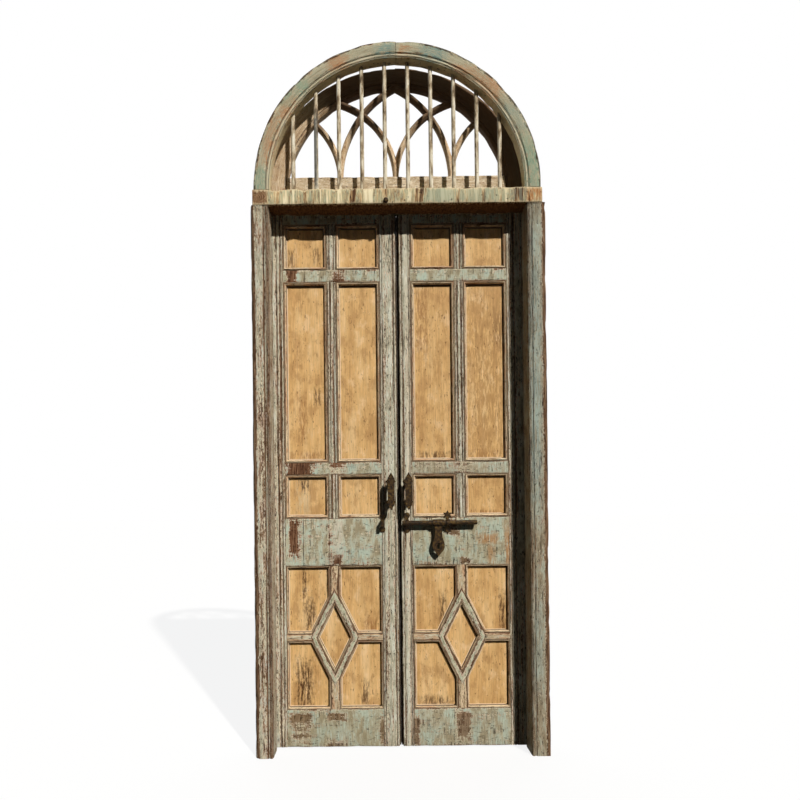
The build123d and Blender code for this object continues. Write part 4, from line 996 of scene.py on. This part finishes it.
RIB_FRONT, RIB_BACK = span("tracery_left_ribs", 1)
SPRINGING, APEX_BEND, CENTRE_BEND, OUTER_BEND = 0.252, 0.466, 0.358, 0.340
for name, side in (("left", -1), ("right", 1)):
    skin = Skin(f"ridged_{name}_ribs")
    rib(skin, side * SPRINGING, -side, APEX_BEND, 0.0, "apex")
    rib(skin, 0.0, side, CENTRE_BEND, 0.0005, "centre")
    rib(skin, side * SPRINGING, side, OUTER_BEND, 0.001, "outer")
    skin.piece("frame", rib_finish, f"tracery_{name}_ribs")
print("ribs from", round(RIB_FRONT, 4), "to", round(RIB_BACK, 4))

# %% [markdown]
# ## Leaf joinery
# Each leaf is stiles, rails and short muntins. Their places are read from the CAD boxes, so the
# dressed timbers stay exactly where the solids are. The stiles and muntins have narrow reeds run up
# their faces; a notch in the section makes each one.

# %% Leaf layout
LEAF_FACE, LEAF_BACK = span("left_hinge_stile", 1)
RAILS = ("bottom_rail", "lock_rail", "middle_rail", "upper_rail", "top_rail")
ROWS = ("square_panels", "tall_panels", "top_panels")


def layout(name):
    """Edges of one leaf's uprights, heights of its rows and rails, and the diamond's middle, half and reach."""
    side = -1 if name == "left" else 1
    boards = corner_box(f"{name}_diamond_boards")

    def across(node):
        """Edges in X, the one nearer the meeting line first."""
        low, high = span(f"{name}_{node}", 0)
        return (low, high) if side > 0 else (high, low)

    meeting, hinge = across("meeting_stile"), across("hinge_stile")
    rails = {rail: span(f"{name}_{rail}", 2) for rail in RAILS}
    middle = (boards[0] + boards[1])[[0, 2]] / 2
    return {
        "side": side,
        "meeting": meeting, "muntin": across("muntins"), "hinge": hinge,
        "rows": {row: span(f"{name}_{row}", 2) for row in ROWS},
        "rails": rails,
        "middle": middle, "half": (boards[1] - boards[0])[[0, 2]] / 2,
        "reach": (abs(hinge[0] - meeting[1]) / 2, rails["lock_rail"][0] - middle[1]),
    }


LEAVES = {name: layout(name) for name in ("left", "right")}
for name, plan in LEAVES.items():
    shown = ("meeting", "muntin", "hinge", "middle", "half")
    print(name, {key: np.round(plan[key], 4).tolist() for key in shown})

# %% [markdown]
# ## Stiles
# The meeting stiles have a rebated edge: a lip at the back closes the gap between the leaves, and a
# step in front leaves a dark line there, whose floor is painted dark as painted shadow. Both are corners
# of the carried section.


# %% Stiles
def reeded(x0, x1, reeds, side):
    """Board section in plan from x0 to x1, with a V notch at each reed, wound from the back."""
    half, deep = side * 0.002, 0.004
    corners = [(x0, LEAF_BACK), (x0, LEAF_FACE)]
    for place in reeds:
        corners += [(place - half, LEAF_FACE), (place, LEAF_FACE + deep), (place + half, LEAF_FACE)]
    return corners + [(x1, LEAF_FACE), (x1, LEAF_BACK)]


LIP_GAP, EDGE_GAP, STEP_WIDTH = 0.00015, 0.0013, 0.0065
LIP_DEEP, STEP_DEEP, HEAD_RISE = 0.008, 0.016, 0.0024
for name, plan in LEAVES.items():
    side, body = plan["side"], f"{name}_leaf"
    low, high = corner_box(f"{name}_hinge_stile")
    inner, outer = plan["hinge"]
    skin = Skin(f"worn_{name}_hinge_stile")
    corners = reeded(inner, outer, [inner + side * 0.012, inner + side * 0.030], side)
    timber(skin, corners, (0, 0, low[2]), (0, 0, high[2]), X_AXIS, Y_AXIS)
    skin.piece(body, stile_finish, f"{name}_hinge_stile")

    lip, edge, inner = side * LIP_GAP, side * EDGE_GAP, plan["meeting"][1]
    skin = Skin(f"worn_{name}_meeting_stile")
    step = edge + side * STEP_WIDTH
    reeds = [step + side * 0.012, inner - side * 0.010]
    corners = [(lip, LEAF_BACK), (lip, LEAF_BACK - LIP_DEEP), (edge, LEAF_BACK - LIP_DEEP),
               (edge, LEAF_FACE + STEP_DEEP), (step, LEAF_FACE + STEP_DEEP)]
    corners += reeded(step, inner, reeds, side)[1:]
    # Corners 2 to 4 line the groove between the leaves and are painted nearly black: painted shadow in the gap.
    timber(skin, corners, (0, 0, low[2]), (0, 0, high[2] + HEAD_RISE), X_AXIS, Y_AXIS,
           shadowed=(2, 3, 4), firm=(0, 1))
    skin.piece(body, stile_finish, f"{name}_meeting_stile")
print("stiles from", low[2].round(4), "to", high[2].round(4))

# %% [markdown]
# ## Rails and muntins
# Five plain rails run between the stiles, and a reeded muntin stands in each row of panels. Carried
# sections again, so they wear as the stiles do.

# %% Rails and muntins
for name, plan in LEAVES.items():
    side, body = plan["side"], f"{name}_leaf"
    start, end = sorted((plan["meeting"][1], plan["hinge"][0]))
    for rail, (z0, z1) in plan["rails"].items():
        skin = Skin(f"worn_{name}_{rail}")
        section = [(LEAF_FACE, z0), (LEAF_FACE, z1), (LEAF_BACK, z1), (LEAF_BACK, z0)]
        timber(skin, section, (start, 0, 0), (end, 0, 0), Y_AXIS, Z_AXIS, radius=0.0016, chip=0.004)
        skin.piece(body, rail_finish, f"{name}_{rail}")

    skin = Skin(f"worn_{name}_muntins")
    x0, x1 = plan["muntin"]
    for row, (z0, z1) in plan["rows"].items():
        corners = reeded(x0, x1, [x0 + side * 0.010, x1 - side * 0.010], side)
        timber(skin, corners, (0, 0, z0), (0, 0, z1), X_AXIS, Y_AXIS, mark=row)
    skin.piece(body, stile_finish, f"{name}_muntins")

# %% [markdown]
# ## The outlines of the openings
# The openings of a leaf are polygons: two in each row, four corners round the diamond, and the diamond
# itself. An inset with mitred corners gives every line of a moulding or a panel from them.


# %% Outlines
def inset(points, width):
    """Polygon moved inwards: each corner shifts by width (a + b) / (1 + a.b), a and b side normals."""
    points = np.asarray(points, float)
    sides = np.roll(points, -1, 0) - points
    sides /= np.linalg.norm(sides, axis=1, keepdims=True)
    normals = np.stack([-sides[:, 1], sides[:, 0]], 1)
    before = np.roll(normals, 1, 0)
    reach = width / (1 + np.sum(normals * before, 1, keepdims=True))
    return points + (normals + before) * reach


def anticlockwise(points):
    """The polygon, turned round where its area is negative."""
    points = np.asarray(points, float)
    return points if turning(points) > 0 else points[::-1]


def along_sides(points, count):
    """Each side of a polygon cut into count parts: corner + t (next - corner)."""
    t = np.arange(count)[None, :, None] / count
    return (points[:, None] + t * (np.roll(points, -1, 0) - points)[:, None]).reshape(-1, 2)


def openings(plan):
    """Outlines of the row openings, the four corner openings and the diamond's opening."""
    coarse = []
    for z0, z1 in plan["rows"].values():
        for x0, x1 in ((plan["meeting"][1], plan["muntin"][0]), (plan["muntin"][1], plan["hinge"][0])):
            coarse.append(anticlockwise([(x0, z0), (x1, z0), (x1, z1), (x0, z1)]))
    (x, z), (half_x, half_z), (reach_x, top) = plan["middle"], plan["half"], plan["reach"]
    level, upright = SPOKE_LEVEL / 2, SPOKE_UPRIGHT / 2
    on_level = half_x * (1 - level / half_z)
    on_upright = half_z * (1 - upright / half_x)
    corner = np.array([(reach_x, top), (upright, top), (upright, on_upright),
                       (on_level, level), (reach_x, level)])
    fine = [anticlockwise(corner * (a, b) + (x, z)) for b in (1, -1) for a in (-1, 1)]
    diamond = np.array([(x + half_x, z), (x, z + half_z), (x - half_x, z), (x, z - half_z)])
    return coarse, fine, diamond


SPOKE_LEVEL, SPOKE_UPRIGHT = 0.032, 0.038
OPENINGS = {name: openings(plan) for name, plan in LEAVES.items()}
print("openings per leaf", len(OPENINGS["left"][0]) + len(OPENINGS["left"][1]) + 1)

# %% [markdown]
# ## Mouldings and back beads
# A moulding is a profile run round an opening and mitred at its corners. The profile is a list of
# inset and depth pairs, and each pair is one ring. The beads behind the panels are made alike.

# %% Mouldings
BOARD = 0.025
MOULDING = [(0.0, 0.0), (0.0022, -0.0006), (0.0034, 0.0022), (0.0048, 0.0022), (0.0060, -0.0002),
            (0.0080, 0.0), (0.0100, 0.0014), (0.0122, 0.0042), (0.0138, 0.0078), (0.0150, 0.0084),
            (0.0150, 0.0158), (0.0, 0.0158)]
NARROW_MOULDING = np.array(MOULDING) * (0.667, 1)
MOULDING_WEAR = np.array([0.3, 0.8, 0, 0, 0.8, 0.8, 0.3, 0.2, 0, 0, 0, 0])
# The moulding is dark along its joint with the frame, and painted shade darkens its quirk and its inner drop to
# the panel.
MOULDING_SHADE = np.array([0.9, 0.1, 0.9, 0.9, 0.2, 0, 0, 0, 0.3, 0.9, 1, 1])
BEAD = [(0.0, 0.028), (0.0, 0.0378), (0.0015, 0.039), (0.0085, 0.039), (0.010, 0.0375), (0.010, 0.028)]


def profile_ring(skin, points, profile, worn, seam, mark):
    """Rings of a mitred strip: ring k is the outline inset by profile[k][0] at depth profile[k][1]."""
    profile = np.asarray(profile)
    sides = 6
    rings = np.stack([along_sides(inset(points, width), sides) for width, _ in profile])
    generator = np.random.default_rng(seed_of(skin.name + mark))
    grid = np.empty((rings.shape[1], rings.shape[0], 3))
    grid[..., 0], grid[..., 2] = rings[..., 0].T, rings[..., 1].T
    grid[..., 1] = LEAF_FACE + profile[:, 1][None]
    lengths = np.concatenate([[0], np.cumsum(np.linalg.norm(np.diff(rings[0], axis=0), axis=1))])
    grain = grain_at(grid, lengths[:, None], np.arange(len(profile)) * 0.003, generator.integers(0, 80))
    skin.tube(grid, grain, worn, seam, loop=True)


for name, (coarse, fine, diamond) in OPENINGS.items():
    body = f"{name}_leaf"
    skin = Skin(f"run_{name}_mouldings")
    for number, points in enumerate(coarse):
        profile_ring(skin, points, MOULDING, MOULDING_WEAR, MOULDING_SHADE, f"row{number}")
    for number, points in enumerate(fine + [inset(diamond, BOARD)]):
        profile_ring(skin, points, NARROW_MOULDING, MOULDING_WEAR, MOULDING_SHADE, f"fine{number}")
    skin.piece(body, moulding_finish, f"{name}_mouldings", smooth=30)

    skin = Skin(f"run_{name}_back_beads")
    for number, points in enumerate(coarse + fine):
        profile_ring(skin, points, BEAD, 0.2, 0.0, f"bead{number}")
    skin.piece(body, stile_finish, f"{name}_back_beads", smooth=30)
print("mouldings per leaf", len(coarse) + len(fine) + 1)

# %% [markdown]
# ## The diamond
# Four mitred boards make the diamond, and four spokes carry it. A spoke's inner end is cut to the
# diamond's slope, so its start depends on the place across it.


# %% Diamond
def spoke(skin, middle, outward, half_width, apex, spread, reach, mark):
    """Spoke from the diamond's outline, s0(u) = apex (1 - |u| / spread), out to reach; u runs across it."""
    section = [(-half_width, LEAF_BACK), (-half_width, LEAF_FACE), (0, LEAF_FACE),
               (half_width, LEAF_FACE), (half_width, LEAF_BACK), (0, LEAF_BACK)]
    stations = np.linspace(0, 1, 9)
    seed = seed_of(skin.name + mark)
    sections, worn, hollow, around = worn_section(section, stations * reach, 0.0016, 0.003, seed)
    across = sections[..., 0]
    first = apex * (1 - np.abs(across) / spread)
    along = first + stations[:, None] * (reach - first)
    grid = np.stack([middle[0] + along * outward[0] - across * outward[1], sections[..., 1],
                     middle[1] + along * outward[1] + across * outward[0]], -1)
    skin.tube(grid, grain_at(grid, along, around, seed % 89), worn, hollow)


BOARD_LENGTH = 0.247
for name, plan in LEAVES.items():
    body, diamond = f"{name}_leaf", OPENINGS[name][2]
    skin = Skin(f"worn_{name}_diamond_spokes")
    middle, (half_x, half_z), (reach_x, reach_z) = plan["middle"], plan["half"], plan["reach"]
    for sign in (1, -1):
        spoke(skin, middle, (0, sign), SPOKE_UPRIGHT / 2, half_z, half_x, reach_z, f"upright{sign}")
        spoke(skin, middle, (sign, 0), SPOKE_LEVEL / 2, half_x, half_z, reach_x, f"level{sign}")
    skin.piece(body, spoke_finish, f"{name}_diamond_spokes")

    skin = Skin(f"worn_{name}_diamond_boards")
    inner = inset(diamond, BOARD)
    stations = np.linspace(0, 1, 14)
    section = [(0, LEAF_FACE), (0, LEAF_BACK), (BOARD, LEAF_BACK), (BOARD, LEAF_FACE)]
    outline, worn, hollow, _ = rounded(section, 0.002)
    across = outline[:, 0] / BOARD
    for number in range(4):
        after = (number + 1) % 4
        outer_line = diamond[number] + stations[:, None] * (diamond[after] - diamond[number])
        inner_line = inner[number] + stations[:, None] * (inner[after] - inner[number])
        flat = outer_line[:, None] + across[None, :, None] * (inner_line - outer_line)[:, None]
        grid = np.stack([flat[..., 0], np.broadcast_to(outline[:, 1], flat.shape[:2]), flat[..., 1]], -1)
        grain = grain_at(grid, stations[:, None] * BOARD_LENGTH, outline.sum(1), number * 7)
        skin.tube(grid, grain, worn, hollow)
    skin.piece(body, board_finish, f"{name}_diamond_boards")
print("diamond halves", plan["half"].round(4))

# %% [markdown]
# ## The panels
# A panel is a set of rings that shrink to its middle, so it can cup like an old board. It carries its
# nearness to the rim for the pale line, which turns to painted shade on the sides that face up or right.


# %% Panels
def panel_board(skin, points, cover):
    """Front rings inset from the outline, then shrinking to the middle, with a rim and a flat back.

    Ring depth dips by 0.8 mm (1 - share)^2 towards the middle, as an old board cups. The rim is painted
    dark along sides whose outward normal n has n.(0.53, 0.85) > 0.25, so on top and to the right, as painted
    shade under the moulding's edge.
    """
    points = anticlockwise(points)
    count = 10
    outer = along_sides(points, count)
    insets = np.array([0, cover, cover + 0.0022, cover + 0.0048, cover + 0.008])
    rings = [along_sides(inset(points, width), count) for width in insets]
    last, middle = rings[-1], points.mean(0)
    shares = np.array([0.85, 0.65, 0.42, 0.2, 0.03])
    rings += [middle + share * (last - middle) for share in shares]
    flat = np.stack([outer] + rings)
    depth = np.concatenate([[PANEL_BACK], np.full(len(insets), PANEL_FACE),
                            PANEL_FACE + 0.0008 * (1 - shares) ** 2])
    rim = np.concatenate([[0], [1, 1, 1, 0.5, 0], np.zeros(len(shares))])
    sides = np.roll(points, -1, 0) - points
    shaded_side = np.repeat(sides @ (-0.85, 0.53) > 0.25 * np.linalg.norm(sides, axis=1), count)
    grid = np.empty(flat.shape[:2] + (3,))
    grid[..., 0], grid[..., 1], grid[..., 2] = flat[..., 0], depth[:, None], flat[..., 1]
    # The third value carries the painted shade of the top and right rims, and the fourth the pale rim line of
    # the other sides.
    skin.tube(grid, np.zeros(grid.shape), rim[:, None] * shaded_side, rim[:, None] * ~shaded_side)


ROW_COVER, FINE_COVER = 0.0145, 0.0095
PANEL_FACE, PANEL_BACK = span("left_tall_panels", 1)
for name, (coarse, fine, diamond) in OPENINGS.items():
    boards = {row: (coarse[2 * number:2 * number + 2], ROW_COVER) for number, row in enumerate(ROWS)}
    boards |= {"corner_panels": (fine, FINE_COVER), "diamond_panel": ([inset(diamond, BOARD)], FINE_COVER)}
    for node, (outlines, cover) in boards.items():
        skin = Skin(f"board_{name}_{node}")
        for points in outlines:
            panel_board(skin, points, cover)
        skin.piece(f"{name}_leaf", panel_finish, f"{name}_{node}")
print("panel boards per leaf", sum(len(outlines) for outlines, _ in boards.values()))

# %% [markdown]
# ## Ironwork with eased edges
# Forged iron has no sharp arris. The small iron pieces are copies of their solids with a bevel, which
# is simpler than shaping them again.


# %% Eased copies
def eased(node, body, width):
    """A merged copy of an iron CAD node's mesh with its sharp edges bevelled."""
    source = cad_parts[node].data
    shape = bmesh.new()
    shape.from_mesh(source)
    bmesh.ops.remove_doubles(shape, verts=shape.verts[:], dist=1e-5)
    bmesh.ops.dissolve_limit(shape, angle_limit=math.radians(1.0), verts=shape.verts[:], edges=shape.edges[:])
    mesh = bpy.data.meshes.new(f"eased_{node}")
    shape.to_mesh(mesh)
    shape.free()
    mesh.materials.append(iron_finish)
    made = bpy.data.objects.new(f"eased_{node}", mesh)
    bevel = made.modifiers.new("ease", "BEVEL")
    bevel.width = width
    bevel.segments = 2
    bevel.limit_method = "ANGLE"
    bevel.angle_limit = math.radians(35)
    mesh.polygons.foreach_set("use_smooth", np.ones(len(mesh.polygons), bool))
    mesh.set_sharp_from_angle(angle=math.radians(40))
    place_piece(made, body, node)


EASED = {"left_pull_handle": "left_leaf", "left_bolt_keeper": "left_leaf",
         "right_pull_handle": "right_leaf", "right_bolt_brackets": "right_leaf", "hasp": "hasp"}
for node, body in EASED.items():
    eased(node, body, 0.0010 if node == "hasp" else 0.0012)
print("eased copies", len(EASED))

# %% [markdown]
# ## Finishes on the remaining solids
# Everything that isn't dressed above keeps its CAD shape and only takes a finish, chosen by what the
# solid's name says it is.

# %% Solids
SLOT_FINISH = {
    "frame_timber": post_left_finish, "leaf_timber": stile_finish, "arch_timber": arch_finish,
    "sash_timber": sash_finish, "panel_wood": panel_finish, "rod_paint": rod_finish, "iron": iron_finish,
}
IRON_WORDS = ("hinge_plates", "pins", "pull", "bolt", "hasp", "stud", "keeper", "bracket")


def slot_of(node):
    """The material slot that a CAD node takes, by what its name says it is."""
    if any(word in node for word in IRON_WORDS):
        return "iron"
    if "rods" in node:
        return "rod_paint"
    if "panel" in node:
        return "panel_wood"
    if "sash" in node or "tracery" in node:
        return "sash_timber"
    if "arch" in node:
        return "arch_timber"
    return "frame_timber" if "post" in node or "bar" in node else "leaf_timber"


for node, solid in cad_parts.items():
    for place in solid.material_slots:
        place.material = SLOT_FINISH[slot_of(node)]
print("finishes given to", len(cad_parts), "solids")
